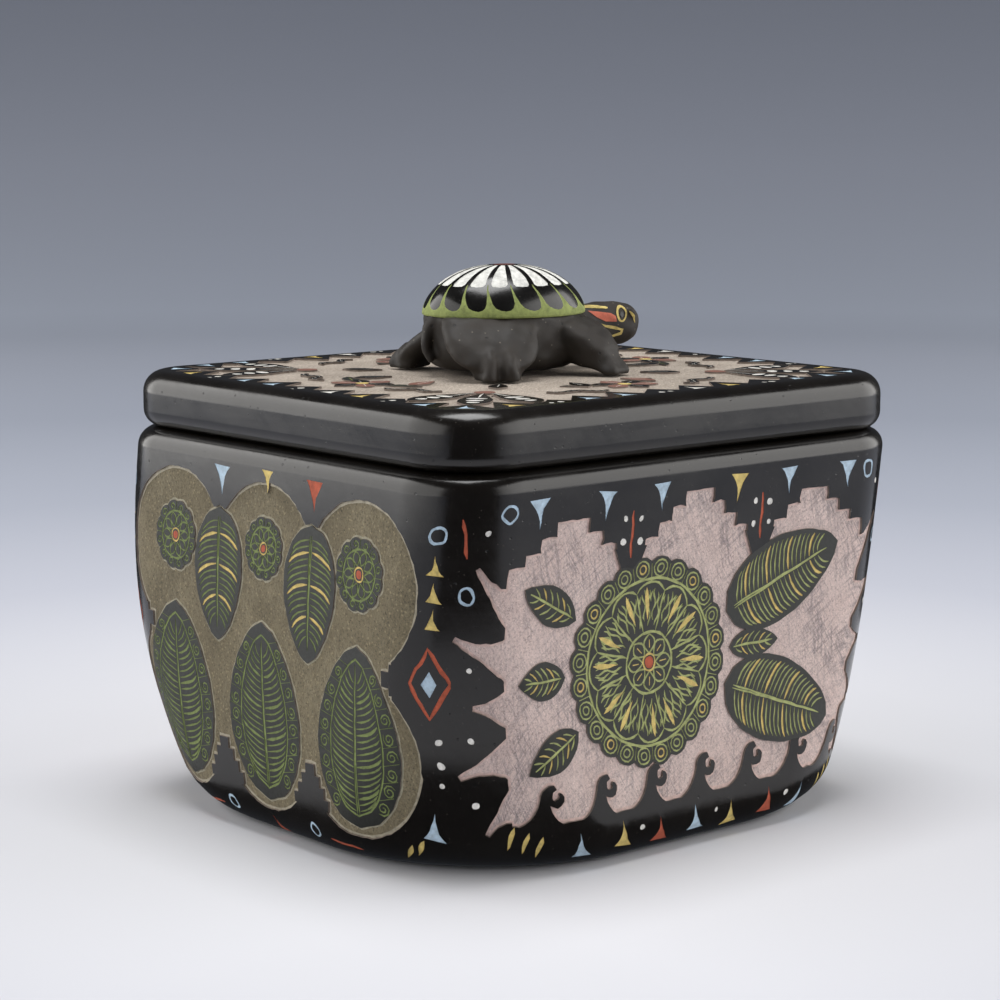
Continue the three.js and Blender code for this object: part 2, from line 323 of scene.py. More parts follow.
def waver(points, amount):
    """The slight waver of a hand-held tool, the same for lines that run side by side."""
    p = np.asarray(points, float)
    x, y = p[:, 0], p[:, 1]
    dx = np.sin(1.3 * y + 0.9 * x) + 0.6 * np.sin(2.9 * y - 1.7 * x + 1)
    dy = np.sin(1.1 * x - 0.8 * y + 2) + 0.6 * np.sin(3.1 * x + 1.9 * y)
    return p + amount * np.stack([dx, dy], axis=1)


def ribbon(points, width, closed=False):
    """The outline of a stroke, a little uneven. An open one narrows at its ends, as a cut does."""
    p = np.asarray(points, float)
    x, y = p[:, 0], p[:, 1]
    along = np.roll(p, -1, axis=0) - np.roll(p, 1, axis=0) if closed else np.gradient(p, axis=0)
    along /= np.maximum(np.linalg.norm(along, axis=1, keepdims=True), 1e-9)
    side = np.stack([-along[:, 1], along[:, 0]], axis=1)
    half = width / 2 * (1 + 0.15 * np.sin(2.3 * x - 1.7 * y) + 0.1 * np.sin(5.1 * x + 4.3 * y))
    if not closed:
        run = np.concatenate([[0], np.cumsum(np.linalg.norm(np.diff(p, axis=0), axis=1))])
        half = half * (0.4 + 0.6 * np.clip(np.minimum(run, run[-1] - run) / (1.5 * width), 0, 1))
    reach = side * half[:, None]
    if closed:
        return np.vstack([p + reach, (p + reach)[:1], (p - reach)[:1], (p - reach)[::-1]])
    return np.vstack([p + reach, (p - reach)[::-1]])


def inside(polygon, points):
    """Which points a polygon winds round."""
    x, y = points[:, 0][:, None], points[:, 1][:, None]
    x0, y0 = polygon[:, 0], polygon[:, 1]
    x1, y1 = np.roll(x0, -1), np.roll(y0, -1)
    left = (x1 - x0) * (y - y0) - (x - x0) * (y1 - y0)
    up = (y0 <= y) & (y1 > y) & (left > 0)
    down = (y0 > y) & (y1 <= y) & (left < 0)
    return (up.sum(axis=1) - down.sum(axis=1)) != 0


class Drawing:
    """Shapes in painting order. Each has a finish and a depth, and may be kept to some finishes under it."""

    def __init__(self, finish):
        self.finish = finish
        self.shapes = []

    def fill(self, outline, finish, depth, step=1.6, shake=0.05):
        self.shapes.append((closed_steps(waver(outline, shake), step), finish, depth, None))

    def line(self, points, width, finish, depth=LINE_DEPTH, closed=False, over=None, shake=0.05):
        self.shapes.append((ribbon(waver(points, shake), width, closed), finish, depth, over))

    def rimmed(self, outline, rim, rim_depth, finish, depth, width=0.7):
        """A shape with a cut line of half that width showing round it."""
        outline = closed_steps(outline, EDGE_STEP)
        self.line(outline, width, rim, rim_depth, closed=True)
        self.fill(outline, finish, depth)

    def ground(self, outlines, finish, edge, depth=GROUND_DEPTH, over=None):
        """Scraped ground in the shape of all the outlines together, with a pale line round it."""
        for outline in outlines:
            line = closed_steps(outline, EDGE_STEP)
            self.line(line, EDGE_WIDTH, edge, EDGE_DEPTH, closed=True, over=over)
        for outline in outlines:
            self.fill(outline, finish, depth)

    def island(self, outlines, ground, edge):
        """Polish left standing in the ground, with a pale line round it."""
        self.ground(outlines, "polished", edge, 0, [ground])

    def cut_into(self, mesh, place, outline, inner):
        """Adds the drawing to the mesh as relief.

        place gives the drawing's points their places and normals on the surface."""
        points, edges = [*outline, *inner], loop_edges(len(outline))
        for polygon, *_ in self.shapes:
            edges += loop_edges(len(polygon), len(points))
            points += list(polygon)
        found = delaunay_2d_cdt([Vector(p) for p in points], edges, [], 0, 1e-3, False)
        flat = np.array([tuple(v) for v in found[0]])
        triangles = np.array(found[2])
        triangles = triangles[inside(np.asarray(outline, float), flat[triangles].mean(axis=1))]
        finish, depth = self.paint(flat[triangles].mean(axis=1))
        surface, normals = place(flat)
        a, b, c = flat[triangles[:, 0]], flat[triangles[:, 1]], flat[triangles[:, 2]]
        area = (b[:, 0] - a[:, 0]) * (c[:, 1] - a[:, 1]) - (b[:, 1] - a[:, 1]) * (c[:, 0] - a[:, 0])
        triangles[area < 0] = triangles[area < 0][:, ::-1]
        steps = np.unique(depth)
        level = np.searchsorted(steps, depth)
        corner = triangles * len(steps) + level[:, None]
        used, index = np.unique(corner, return_inverse=True)
        at = used // len(steps)
        sunk = surface[at] - normals[at] * steps[used % len(steps)][:, None]
        mesh.add(sunk, normals[at], index.reshape(-1, 3), finish)
        faces, finishes = self.walls(triangles, level, finish, used, steps)
        mesh.add(sunk, np.zeros_like(sunk), faces, finishes, flat=True)

    def paint(self, centres):
        """The finish and depth at each place, from the shapes in their order."""
        finish = np.full(len(centres), self.finish, dtype=object)
        depth = np.zeros(len(centres))
        for polygon, name, deep, over in self.shapes:
            low, high = polygon.min(axis=0), polygon.max(axis=0)
            near = np.flatnonzero(((centres >= low) & (centres <= high)).all(axis=1))
            if over is not None:
                near = near[[name in over for name in finish[near]]]
            hit = near[inside(polygon, centres[near])] if len(near) else near
            finish[hit], depth[hit] = name, deep
        return finish, depth

    def walls(self, triangles, level, finish, used, steps):
        """Faces that join the edges of neighbouring regions at different depths, and their finishes."""
        row = {int(key): i for i, key in enumerate(used)}
        levels_at = {}
        for key in used:
            levels_at.setdefault(int(key) // len(steps), []).append(int(key) % len(steps))
        owner = {}
        for k, triangle in enumerate(triangles):
            for i in range(3):
                owner[(int(triangle[i]), int(triangle[(i + 1) % 3]))] = k
        faces, finishes = [], []
        for (a, b), k in owner.items():
            other = owner.get((b, a))
            if other is None or level[k] >= level[other]:
                continue
            high, low = level[k], level[other]
            down = [n for n in sorted(levels_at[a]) if high < n < low]
            up = [n for n in sorted(levels_at[b], reverse=True) if high < n < low]
            ring = [(b, high), (a, high), *[(a, n) for n in down], (a, low), (b, low), *[(b, n) for n in up]]
            faces.append([row[v * len(steps) + n] for v, n in ring])
            finishes.append("cut_edge" if steps[low] - steps[high] > BARE_STEP else finish[other])
        return faces, finishes


# Shapes, as outlines or centrelines about their own origin


def put(points, centre, degrees=0.0, scale=1.0):
    """Turns, scales and moves points."""
    a = math.radians(degrees)
    turn = np.array([[math.cos(a), math.sin(a)], [-math.sin(a), math.cos(a)]])
    return np.asarray(points, float) * scale @ turn + np.asarray(centre, float)


def polar(centre, degrees, distance):
    return put([(distance, 0)], centre, degrees)[0]


def circle(radius, count=32, centre=(0, 0)):
    a = 2 * math.pi * np.arange(count) / count
    return np.stack([centre[0] + radius * np.cos(a), centre[1] + radius * np.sin(a)], axis=1)


def scalloped(radius, lobes, dip=0.05):
    """A round outline in shallow lobes."""
    a = 2 * math.pi * np.arange(4 * lobes) / (4 * lobes)
    r = radius * (1 - dip * (1 - np.abs(np.sin(lobes * a / 2)) ** 0.7))
    return np.stack([r * np.cos(a), r * np.sin(a)], axis=1)


def rounded_plan(half_x, half_y, radius, count=8):
    x, y = half_x - radius, half_y - radius
    corners = []
    for k, (cx, cy) in enumerate([(x, -y), (x, y), (-x, y), (-x, -y)]):
        a = np.radians(np.linspace(90 * k - 90, 90 * k, count))
        corners.append(np.stack([cx + radius * np.cos(a), cy + radius * np.sin(a)], axis=1))
    return np.vstack(corners)


def spiral(radius, turns, start, count, core=0.15):
    share = np.linspace(0, 1, count)
    a = start + 2 * math.pi * turns * share
    r = radius * (1 - (1 - core) * share)
    return np.stack([r * np.cos(a), r * np.sin(a)], axis=1)


def bend(start, middle, end, count):
    """A curve from start to end that's drawn towards the middle point."""
    t = np.linspace(0, 1, count)[:, None]
    start, middle, end = np.asarray(start, float), np.asarray(middle, float), np.asarray(end, float)
    return (1 - t) ** 2 * start + 2 * t * (1 - t) * middle + t ** 2 * end


def leaf(length, width, fullness, count):
    """A pointed leaf from the origin along +X. Fullness below 0.5 moves its widest part towards the base."""
    share = np.linspace(0, 1, count)
    half = width / 2 * np.sin(math.pi * share ** (math.log(0.5) / math.log(fullness))) ** 0.8
    upper = np.stack([length * share, half], axis=1)
    lower = np.stack([length * share, -half], axis=1)[-2:0:-1]
    return np.vstack([upper, lower])


def stepped(width, rise, count):
    """A stepped pyramid that stands on the line y = 0, about x = 0."""
    points = []
    for k in range(count):
        half = width / 2 * (1 - k / count)
        points += [(-half, k * rise), (-half, (k + 1) * rise)]
    return np.array(points + [(-x, y) for x, y in points[::-1]])


def crest(base, size):
    """A running wave that curls over: its body's outline and its curl's."""
    body = np.vstack([
        bend((-0.75, 0), (-0.1, 0.12), (0.06, 0.7), 7),
        bend((0.08, 0.78), (0.2, 1.04), (0.46, 1.02), 5),
        bend((0.52, 0.9), (0.28, 0.84), (0.32, 0.5), 5),
        bend((0.36, 0.36), (0.44, 0.1), (0.78, 0), 5),
    ])
    curl = spiral(0.27, 0.85, math.radians(100), 12, core=0.35) + [0.52, 0.72]
    return put(body, base, scale=size), ribbon(put(curl, base, scale=size), 0.19 * size)


# Painted marks


def thorn(art, place, degrees, size=4.2, finish="pale_blue"):
    """A painted thorn with hollow sides. It points along +X before it's turned."""
    tip = (size, 0.1 * size)
    left = bend((0, 0.44 * size), (0.36 * size, 0.1 * size), tip, 6)
    right = bend(tip, (0.3 * size, -0.02 * size), (0, -0.42 * size), 6)
    art.fill(put(np.vstack([left, right]), place, degrees), finish, PAINT_DEPTH, step=0.9, shake=0.1)


def slash(art, place, degrees, length=3.7):
    shape = leaf(length, 0.85, 0.6, 6) - [length / 2, 0]
    art.fill(put(shape, place, degrees), "yellow", PAINT_DEPTH, shake=0.08)


def stroke(art, start, end):
    art.line(open_steps([start, end], 1.2), 0.5, "red", PAINT_DEPTH, shake=0.1)


def ring_mark(art, centre, radius=1.25):
    art.line(circle(radius, 20, centre), 0.42, "pale_blue", PAINT_DEPTH, closed=True, shake=0.12)


def dots(art, places, radius=0.52):
    for k, place in enumerate(places):
        uneven = radius * (1 + 0.2 * math.sin(5 * k + place[0]))
        art.fill(circle(uneven, 9, place), "white", PAINT_DEPTH, shake=0.1)


def lozenge(art, centre, half_wide=3.2, half_high=5.2):
    shape = np.array([(half_wide, 0), (0, half_high), (-half_wide, 0), (0, -half_high)])
    art.line(closed_steps(shape + centre, 1.5), 0.62, "red", PAINT_DEPTH, closed=True, shake=0.1)
    art.fill(shape * 0.38 + centre, "pale_blue", PAINT_DEPTH, shake=0.08)


# Blossoms, leaves and feathers


def bloom(art, centre, radius):
    """A round blossom: a dark disc with a rim of nested cells, twelve striped petals and a rosette."""
    lobes, petals = 24, 12
    rim, heart = 0.79 * radius, 0.3 * radius
    art.fill(put(scalloped(radius, lobes), centre), "motif", MOTIF_DEPTH, step=1.2)
    art.line(circle(rim, 72, centre), 0.42, "lime", closed=True)
    cell = circle(1, 12) * [0.4 * (radius - rim), 0.38 * 2 * math.pi * 0.885 * radius / lobes]
    for k in range(lobes):
        wall = k * 360 / lobes
        art.line(put([(rim, 0), (0.93 * radius, 0)], centre, wall), 0.34, "lime")
        for size, finish in ((0.95, "lime"), (0.46, "yellow" if k % 3 == 0 else "lime")):
            ring = put(cell * size + [0.885 * radius, 0], centre, wall + 180 / lobes)
            art.line(ring, 0.27, finish, closed=True)
    for k in range(petals):
        petal(art, centre, 360 * k / petals, heart, rim, 180 / petals, k)
    rosette(art, centre, heart)


def petal(art, centre, degrees, inner, outer, half_angle, phase):
    """One of the bloom's petals, from its inner ring out to a rounded end, with wavy stripes."""
    angles = np.linspace(-half_angle, half_angle, 9)
    tops = outer - 0.5 - 1.3 * (np.abs(angles) / half_angle) ** 2.2
    art.line([polar(centre, degrees + a, r) for r, a in zip(tops, angles)], 0.36, "lime")
    side = open_steps([(inner, 0), (tops[0], 0)], 1.2)
    art.line(put(side, centre, degrees - half_angle), 0.36, "lime")
    for k, spread in enumerate((-0.78, -0.56, -0.34, -0.12, 0.12, 0.34, 0.56, 0.78)):
        start = (0.8, 3.4, 1.6, 4.4)[k % 4]
        r = np.arange(inner + start, outer - 1.0 - 1.2 * abs(spread), 0.6)
        turn = degrees + half_angle * spread + 16 / r * np.sin(1.9 * r + phase + 1.7 * k)
        art.line([polar(centre, a, x) for x, a in zip(r, turn)], 0.31, "lime", shake=0.02)
    mark = leaf(0.66 * (outer - inner), 0.85, 0.6, 8) + [inner + 0.2 * (outer - inner), 0]
    art.fill(put(mark, centre, degrees + (4 if phase % 2 else -4)), "yellow", LINE_DEPTH - 0.04, step=1.0)


def rosette(art, centre, radius):
    art.line(circle(radius * 0.97, 40, centre), 0.42, "lime", closed=True)
    for k in range(8):
        shape = leaf(radius * 0.62, radius * 0.46, 0.55, 7) + [radius * 0.28, 0]
        art.line(put(shape, centre, 45 * k), 0.3, "lime", closed=True)
        vein = [(radius * 0.45, 0), (radius * 0.72, 0)]
        art.line(put(vein, centre, 45 * k), 0.42, "yellow", LINE_DEPTH - 0.03)
    art.line(circle(radius * 0.26, 18, centre), 0.32, "yellow", closed=True)
    art.fill(circle(radius * 0.19, 14, centre), "red", LINE_DEPTH - 0.05)


def roundel(art, centre, radius):
    """A small round blossom for the olive ground."""
    # The motif's pale rim is a cut line and partly painted highlight on its relief edge.
    art.rimmed(put(scalloped(radius, 12, 0.07), centre), "edge_line", GROUND_DEPTH, "motif", MOTIF_DEPTH)
    art.line(circle(0.68 * radius, 30, centre), 0.34, "olive_line", closed=True)
    for k in range(12):
        art.line(put([(0.68 * radius, 0), (0.95 * radius, 0)], centre, 30 * k), 0.3, "olive_line")
        curl = spiral(0.13 * radius, 1.3, k, 10) + [0.82 * radius, 0]
        art.line(put(curl, centre, 30 * k + 15), 0.26, "olive_line")
    for k in range(10):
        shape = leaf(0.4 * radius, 0.25 * radius, 0.55, 6) + [0.24 * radius, 0]
        art.line(put(shape, centre, 36 * k), 0.28, "olive_line", closed=True)
    art.fill(circle(0.12 * radius, 12, centre), "red", LINE_DEPTH - 0.05)
    art.line(circle(0.19 * radius, 14, centre), 0.28, "yellow", closed=True)


def plume(art, base, degrees, length, width, line, cells=0, rim=None, accent="yellow"):
    """A broad leaf: a midrib with curved barbs and, with cells, a margin of small curls."""
    share = np.linspace(0, 1, 23)
    half = width / 2 * np.sin(math.pi * share ** 0.82) ** 0.6
    edge = np.stack([length * share, half], axis=1)
    outline = np.vstack([edge, (edge * [1, -1])[-2:0:-1]])
    if rim:
        art.rimmed(put(outline, base, degrees), rim, GROUND_DEPTH, "motif", MOTIF_DEPTH)
    else:
        art.fill(put(outline, base, degrees), "motif", MOTIF_DEPTH, step=1.2)
    narrow, squeeze, shift = (0.66, 0.86, 0.07 * length) if cells else (0.92, 1.0, 0.0)

    def reach(x):
        return narrow * np.interp((x - shift) / squeeze, edge[:, 0], half)

    for side in (0.22, -0.22):
        spine = open_steps([(0.07 * length, side), (0.9 * length, 0)], 1.5)
        art.line(put(spine, base, degrees), 0.3, line)
    for k, x in enumerate(np.arange(0.1 * length, 0.82 * length, 0.98)):
        out = max(reach(x + 2.1) - 0.35, 0.7)
        wide, finish = (0.46, accent) if k % 5 == 2 else (0.3, line)
        for side in (1, -1):
            barb = bend((x, 0.4 * side), (x + 0.5, 0.75 * side * out), (x + 2.1, side * out), 6)
            art.line(put(barb, base, degrees), wide, finish)
    if cells:
        margin = outline * [squeeze, narrow] + [shift, 0]
        art.line(put(closed_steps(margin, 1.4), base, degrees), 0.34, line, closed=True)
        for side in (1, -1):
            for k in range(cells):
                x = length * (0.14 + 0.7 * k / (cells - 1))
                leaf_cell(art, base, degrees, x, side, edge, reach, line)


def leaf_cell(art, base, degrees, x, side, edge, reach, line):
    """A curl on a leaf's margin, with the wall that parts it from the next."""
    outer, near = np.interp(x, edge[:, 0], edge[:, 1]), reach(x)
    middle = put([(x, side * (outer + near) / 2)], base, degrees)[0]
    art.line(spiral(0.37 * (outer - near), 1.7, x, 15) + middle, 0.27, line)
    x += 0.055 * edge[-1, 0]
    wall = [(x - 0.3, side * reach(x)), (x + 0.4, side * (np.interp(x, edge[:, 0], edge[:, 1]) - 0.3))]
    art.line(put(wall, base, degrees), 0.28, line)


def small_leaf(art, base, degrees, length, width):
    art.fill(put(leaf(length, width, 0.45, 13), base, degrees), "motif", MOTIF_DEPTH, step=1.2)
    art.line(put(open_steps([(0.8, 0), (length - 1.3, 0)], 1.5), base, degrees), 0.38, "lime")
    for k in range(6):
        x = length * (0.12 + 0.12 * k)
        reach = 0.36 * width * math.sin(math.pi * min(1, (x + 1) / length) ** 0.9)
        for side in (1, -1):
            rib = bend((x, 0.2 * side), (x + 0.5, 0.7 * side * reach), (x + 1.5, side * reach), 4)
            art.line(put(rib, base, degrees), 0.28, "yellow" if k % 3 == 1 else "lime")


def fan(art, base, degrees):
    """Three long feathers that spread from a bound base."""
    for spread, length in ((-38, 14.5), (38, 14.5), (0, 16.0)):
        lid_feather(art, polar(base, degrees + spread, 1.5), degrees + spread, length)
    art.rimmed(circle(1.7, 14, base), "pale_edge", EDGE_DEPTH, "muted_red", 0.06, 0.6)


def lid_feather(art, base, degrees, length):
    """A long black feather with a cut midrib and white ovals towards its tip."""
    shape = leaf(length, 5.2, 0.64, 13)
    art.rimmed(put(shape, base, degrees), "pale_edge", EDGE_DEPTH, "polished", 0.0, 0.8)
    art.line(put(open_steps([(0.6, 0), (length * 0.4, 0)], 1.5), base, degrees), 0.36, "white", 0.12)
    for k in range(3):
        oval = circle(1, 10) * [0.8, 1.6 - 0.3 * k] + [length * (0.48 + 0.16 * k), 0]
        art.fill(put(oval, base, degrees), "white", 0.08)
    for k in range(4):
        x = length * (0.12 + 0.08 * k)
        for side in (1, -1):
            art.line(put([(x, 0.3 * side), (x + 1.0, 1.3 * side)], base, degrees), 0.3, "pale_edge", 0.16)


def cord(art, path):
    """A black cord with white dashes."""
    art.line(path, 1.3, "polished", 0.02)
    for k in range(1, len(path) - 1):
        art.line(path[k] + (path[k + 1] - path[k - 1]) * [[-0.17], [0.17]], 0.42, "white", 0.1)


def blossom(art, centre, degrees):
    """A small open flower with a leaf on each side."""
    for side in (1, -1):
        place = put([(-1.0, 3.4 * side)], centre, degrees)[0]
        angle = degrees + side * 118
        art.rimmed(put(leaf(7.0, 2.7, 0.5, 9), place, angle), "pale_edge", EDGE_DEPTH, "motif", 0.12, 0.5)
        art.line(put([(0.8, 0), (5.6, 0)], place, angle), 0.32, "lime", 0.2)
    for k in range(6):
        angle = degrees + 60 * k
        finish = "muted_red" if k % 2 else "polished"
        art.rimmed(put(leaf(5.4, 3.1, 0.6, 9), centre, angle), "pale_edge", EDGE_DEPTH, finish, 0.1, 0.5)
        art.line(put([(1.4, 0), (4.2, 0)], centre, angle), 0.32, "white", 0.16)
    art.fill(circle(1.1, 12, centre), "yellow", 0.08)


# The panels


def rosy_ground(art, side, low, high):
    """The rosy ground's outline: terraces above, flames at the sides, black waves and wedges below."""
    outlines = [[(-side, low), (side, low), (side, high), (-side, high)]]
    for x, wide, count in ((-25.5, 17, 3), (0, 21, 4), (25.5, 17, 3)):
        outlines.append(stepped(wide, 2.1, count) + [x, high - 0.4])
    for hand in (1, -1):
        for k, (long, lift) in enumerate(((4.5, -5), (7.8, -3), (5.2, 0.5), (8.0, 3.5), (5.0, 6.5))):
            w = low + 3.4 + 7.3 * k
            tip = (hand * (side + long), w + lift)
            top = bend((hand * (side - 1), w + 3.9), (hand * (side + 0.2 * long), w + 0.9), tip, 5)
            bottom = bend(tip, (hand * (side + 0.2 * long), w - 0.9), (hand * (side - 1), w - 3.9), 5)
            outlines.append(np.vstack([top, bottom]))
    art.ground(outlines, "rosy_ground", "rosy_edge")
    waves = []
    for k in range(7):
        waves += crest((-33 + 11 * k, low - 0.9), 6.5)
    for x in (-13.7, 13.7):
        waves.append([(x - 3.2, high + 1.0), (x, high - 6.0), (x + 3.2, high + 1.0)])
    art.island(waves, "rosy_ground", "rosy_edge")


def blossom_panel(art, reach):
    """A large blossom and its leaves on a rosy ground, with painted marks on the black round it."""
    low, high, side = 12.2, 50.6, reach - 8.4
    x0, w0 = -9.0, 33.6
    rosy_ground(art, side, low, high)
    bloom(art, (x0, w0), 16.2)
    for turn in (19, -19):
        plume(art, polar((x0, w0), turn, 17.4), turn, 26.0, 13.5, "lime")
    small_leaf(art, (x0 + 17.4, w0), 0, 11.0, 5.0)
    for turn, length in ((151, 11.5), (180, 9.0), (209, 11.5)):
        small_leaf(art, polar((x0, w0), turn, 17.2), turn, length, 5.8)
    for x in (-13.7, 13.7):
        stroke(art, (x, high - 0.6), (x, high + 6.6))
        spots = [(x - 1.6, high + 5.4), (x + 1.7, high + 5.1), (x - 1.6, high + 2.0), (x + 1.7, high + 1.8)]
        dots(art, spots)
        thorn(art, (x + 5.4, 60.7), -90)
        thorn(art, (x - 5.6, 60.6), -96, 4.4, "pale_blue" if x < 0 else "yellow")
    for hand in (1, -1):
        ring_mark(art, (hand * (side + 0.6), high + 8.2))
        ring_mark(art, (hand * (side + 6.4), 47.4), 1.15)
        thorn(art, (hand * (side - 4.6), high + 9.9), -90, 4.4)
        stroke(art, (hand * (side + 7.6), 58.5), (hand * (side + 6.6), 52.8))
        dots(art, [(hand * (side + 5.8), w) for w in (15.6, 25.8, 36.4)] + [(hand * (side + 3.8), 56.4)])
        for k in range(3):
            place = (hand * (side + 0.8 - 2.3 * k), low - 2.4 - 0.9 * k)
            slash(art, place, 112 if hand > 0 else 68, 4.2)
    for k in range(7):
        x = -25.5 + 8.6 * k
        finish = ("pale_blue", "yellow", "red")[k % 3]
        thorn(art, (x, 5.2 + 0.6 * (k % 2)), 90 + 7 * math.sin(5 * k), 4.6, finish)
        dots(art, [(x + 4.2, 8.6)] if k % 2 else [])


def leaf_panel(art, reach):
    """An olive ground in rounded lobes, with rows of upright and hanging leaves and small blossoms."""
    side = reach - 5.6
    x1 = reach - 18.2
    low, high = 21.5, 46.6
    outlines = [circle(12.6, 40, (x, w)) for x in (-x1, 0, x1) for w in (low, high)]
    inner, foot, head = side - 4.5, low - 6.5, high + 6
    outlines.append([(-inner, foot), (inner, foot), (inner, head), (-inner, head)])
    art.ground(outlines, "olive_ground", "olive_edge")
    notches = [stepped(9.4, 1.7, 4) + [hand * x1 / 2, 11.2] for hand in (1, -1)]
    notches += [put(stepped(7.0, 1.6, 3), (hand * (side - 1.4), 34.2), 90 * hand) for hand in (1, -1)]
    art.island(notches, "olive_ground", "olive_edge")
    # The plumes' and roundels' pale rims are cut lines and partly painted highlight on their relief edges.
    for x in (-x1, 0, x1):
        plume(art, (x, 10.0), 90, 28.0, 19.0, "olive_line", 8, "edge_line", "olive_line")
        roundel(art, (x, 48.6 if x else 49.4), 5.6 if x else 4.9)
    for x in (-x1 / 2, x1 / 2):
        plume(art, (x, 54.4), -90, 21.0, 12.8, "olive_line", 0, "edge_line")
    for hand in (1, -1):
        lozenge(art, (hand * (side + 2.3), 34.2))
        ring_mark(art, (hand * (side + 2.9), 56.0))
        ring_mark(art, (hand * (x1 / 2), 7.4), 1.1)
        thorn(art, (hand * (x1 / 2), 61.0), -90, 4.8, "red" if hand > 0 else "pale_blue")
        for k in range(3):
            thorn(art, (hand * (side + 2.8), 42.4 + 3.9 * k), 84, 3.0, "yellow")
        dots(art, [(hand * (side + 3.4), w) for w in (25.4, 21.8, 18.6)])
        thorn(art, (hand * (side + 1.0), 9.4), 78, 4.6, "pale_blue" if hand > 0 else "yellow")
        slash(art, (hand * (side - 4.0), 6.8), 60)
        slash(art, (hand * (side - 1.8), 7.8), 60)
        stroke(art, (hand * (x1 - 8), 6.6), (hand * (x1 - 1), 5.8))
    thorn(art, (0, 61.4), -90, 3.4, "yellow")
    thorn(art, (0, 3.8), 90, 3.6, "red")


def lid_teeth(half):
    """The lid border's teeth on all four sides, and the place and bearing of the mark in each."""
    teeth, marks = [], []
    for face in range(4):
        along, across = half if face % 2 == 0 else half[::-1]
        count = 10 if face % 2 == 0 else 9
        pitch = 2 * (along - 5.5) / count
        for k in range(count):
            x = 5.5 - along + pitch * (k + 0.5)
            foot, tip = -across - 0.6, -across + (5.2, 3.6, 4.4)[k % 3]
            tooth = [(x - 0.54 * pitch, foot), (x + 0.54 * pitch, foot), (x + 0.6, tip)]
            teeth.append(put(tooth, (0, 0), 90 * face))
            marks.append((put([(x + 0.2, -across - 0.8)], (0, 0), 90 * face)[0], k, 90 * face + 90))
    return teeth, marks


def lid_top_drawing(half, corner, margin=1.8):
    """A tan ground inside a toothed black border, with corner fans, cords, flowers and a ring of leaves."""
    art = Drawing("polished")
    hx, hy = half[0] - margin, half[1] - margin
    art.ground([rounded_plan(hx, hy, corner)], "tan_ground", "pale_edge")
    teeth, marks = lid_teeth((hx, hy))
    diagonal = math.degrees(math.atan2(hy, hx))
    turns = [-180 + diagonal, -diagonal, diagonal, 180 - diagonal]
    reach = math.hypot(hx, hy) - 0.41 * corner
    for turn in turns:
        teeth.append(put([(reach + 0.6, -5.2), (reach + 0.6, 5.2), (reach - 4.2, 0)], (0, 0), turn))
    art.island(teeth, "tan_ground", "pale_edge")
    for mark, k, turn in marks:
        if k % 3 == 1:
            dots(art, [mark + [0.9, 0], mark - [0.9, 0]], 0.5)
        else:
            thorn(art, mark, turn, 3.4, ("yellow", "pale_blue", "white")[(k // 2) % 3])
    for turn in turns:
        thorn(art, polar((0, 0), turn, reach + 0.6), turn + 180, 3.4)
        fan(art, polar((0, 0), turn, reach - 21.5), turn)
    for k in range(4):
        turn = 90 * k
        blossom(art, polar((0, 0), turn, hx - 12 if k % 2 == 0 else hy - 12), turn)
        for hand in (1, -1):
            a = np.radians(turn + hand * np.linspace(14, 31, 10))
            r = 33.0 + 1.0 * np.sin(np.linspace(0, 3 * math.pi, 10))
            cord(art, np.stack([r * np.cos(a), r * np.sin(a)], axis=1))
    for k in range(12):
        turn = 30 * k + 15
        shape = put(leaf(6.6, 3.0, 0.6, 9), polar((0, 0), turn, 21.0), turn)
        art.rimmed(shape, "pale_edge", EDGE_DEPTH, "polished" if k % 3 else "muted_red", 0.02, 0.6)
        art.line(put([(22.4, 0), (25.6, 0)], (0, 0), turn), 0.4, "white", 0.1)
    return art


def shell_drawing(size=20.0, count=18):
    """Petals from a round centre, then a ring of rounded feathers. The size is the rim's radius."""
    art = Drawing("shell_lime")
    turn = 360 / count

    def feather_point(r, a):
        return polar((0, 0), turn * (a + 0.8 * max(0, r - 0.56)), size * r)

    art.fill(circle(size * 0.62, 72), "shell_black", 0.0)
    feather = [(0.54, -0.5), (0.62, -0.47), (0.72, -0.44), (0.81, -0.39), (0.865, -0.3), (0.9, -0.16),
               (0.915, 0.02), (0.9, 0.19), (0.865, 0.32), (0.81, 0.4), (0.72, 0.44), (0.62, 0.47),
               (0.54, 0.5)]
    for k in range(count):
        art.fill([feather_point(r, k + a) for r, a in feather], "shell_black", 0.0, step=0.8)
        seam = [feather_point(r, k + 0.5) for r in np.linspace(0.56, 0.84, 8)]
        art.line(seam, 0.36, "shell_lime", 0.03, shake=0)
    side = [(0.13, -0.25), (0.3, -0.31), (0.46, -0.36), (0.555, -0.36), (0.585, -0.27), (0.592, 0)]
    outline = side + [(r, -a) for r, a in side[-2::-1]]
    for k in range(count):
        white = [polar((0, 0), turn * (k + a), size * r) for r, a in outline]
        art.fill(white, "petal_white", 0.06, step=0.8)
    art.fill(circle(size * 0.112, 36), "shell_black", 0.0)
    art.fill(circle(size * 0.082, 30), "apex_brown", 0.05)
    return art, size


# The pieces


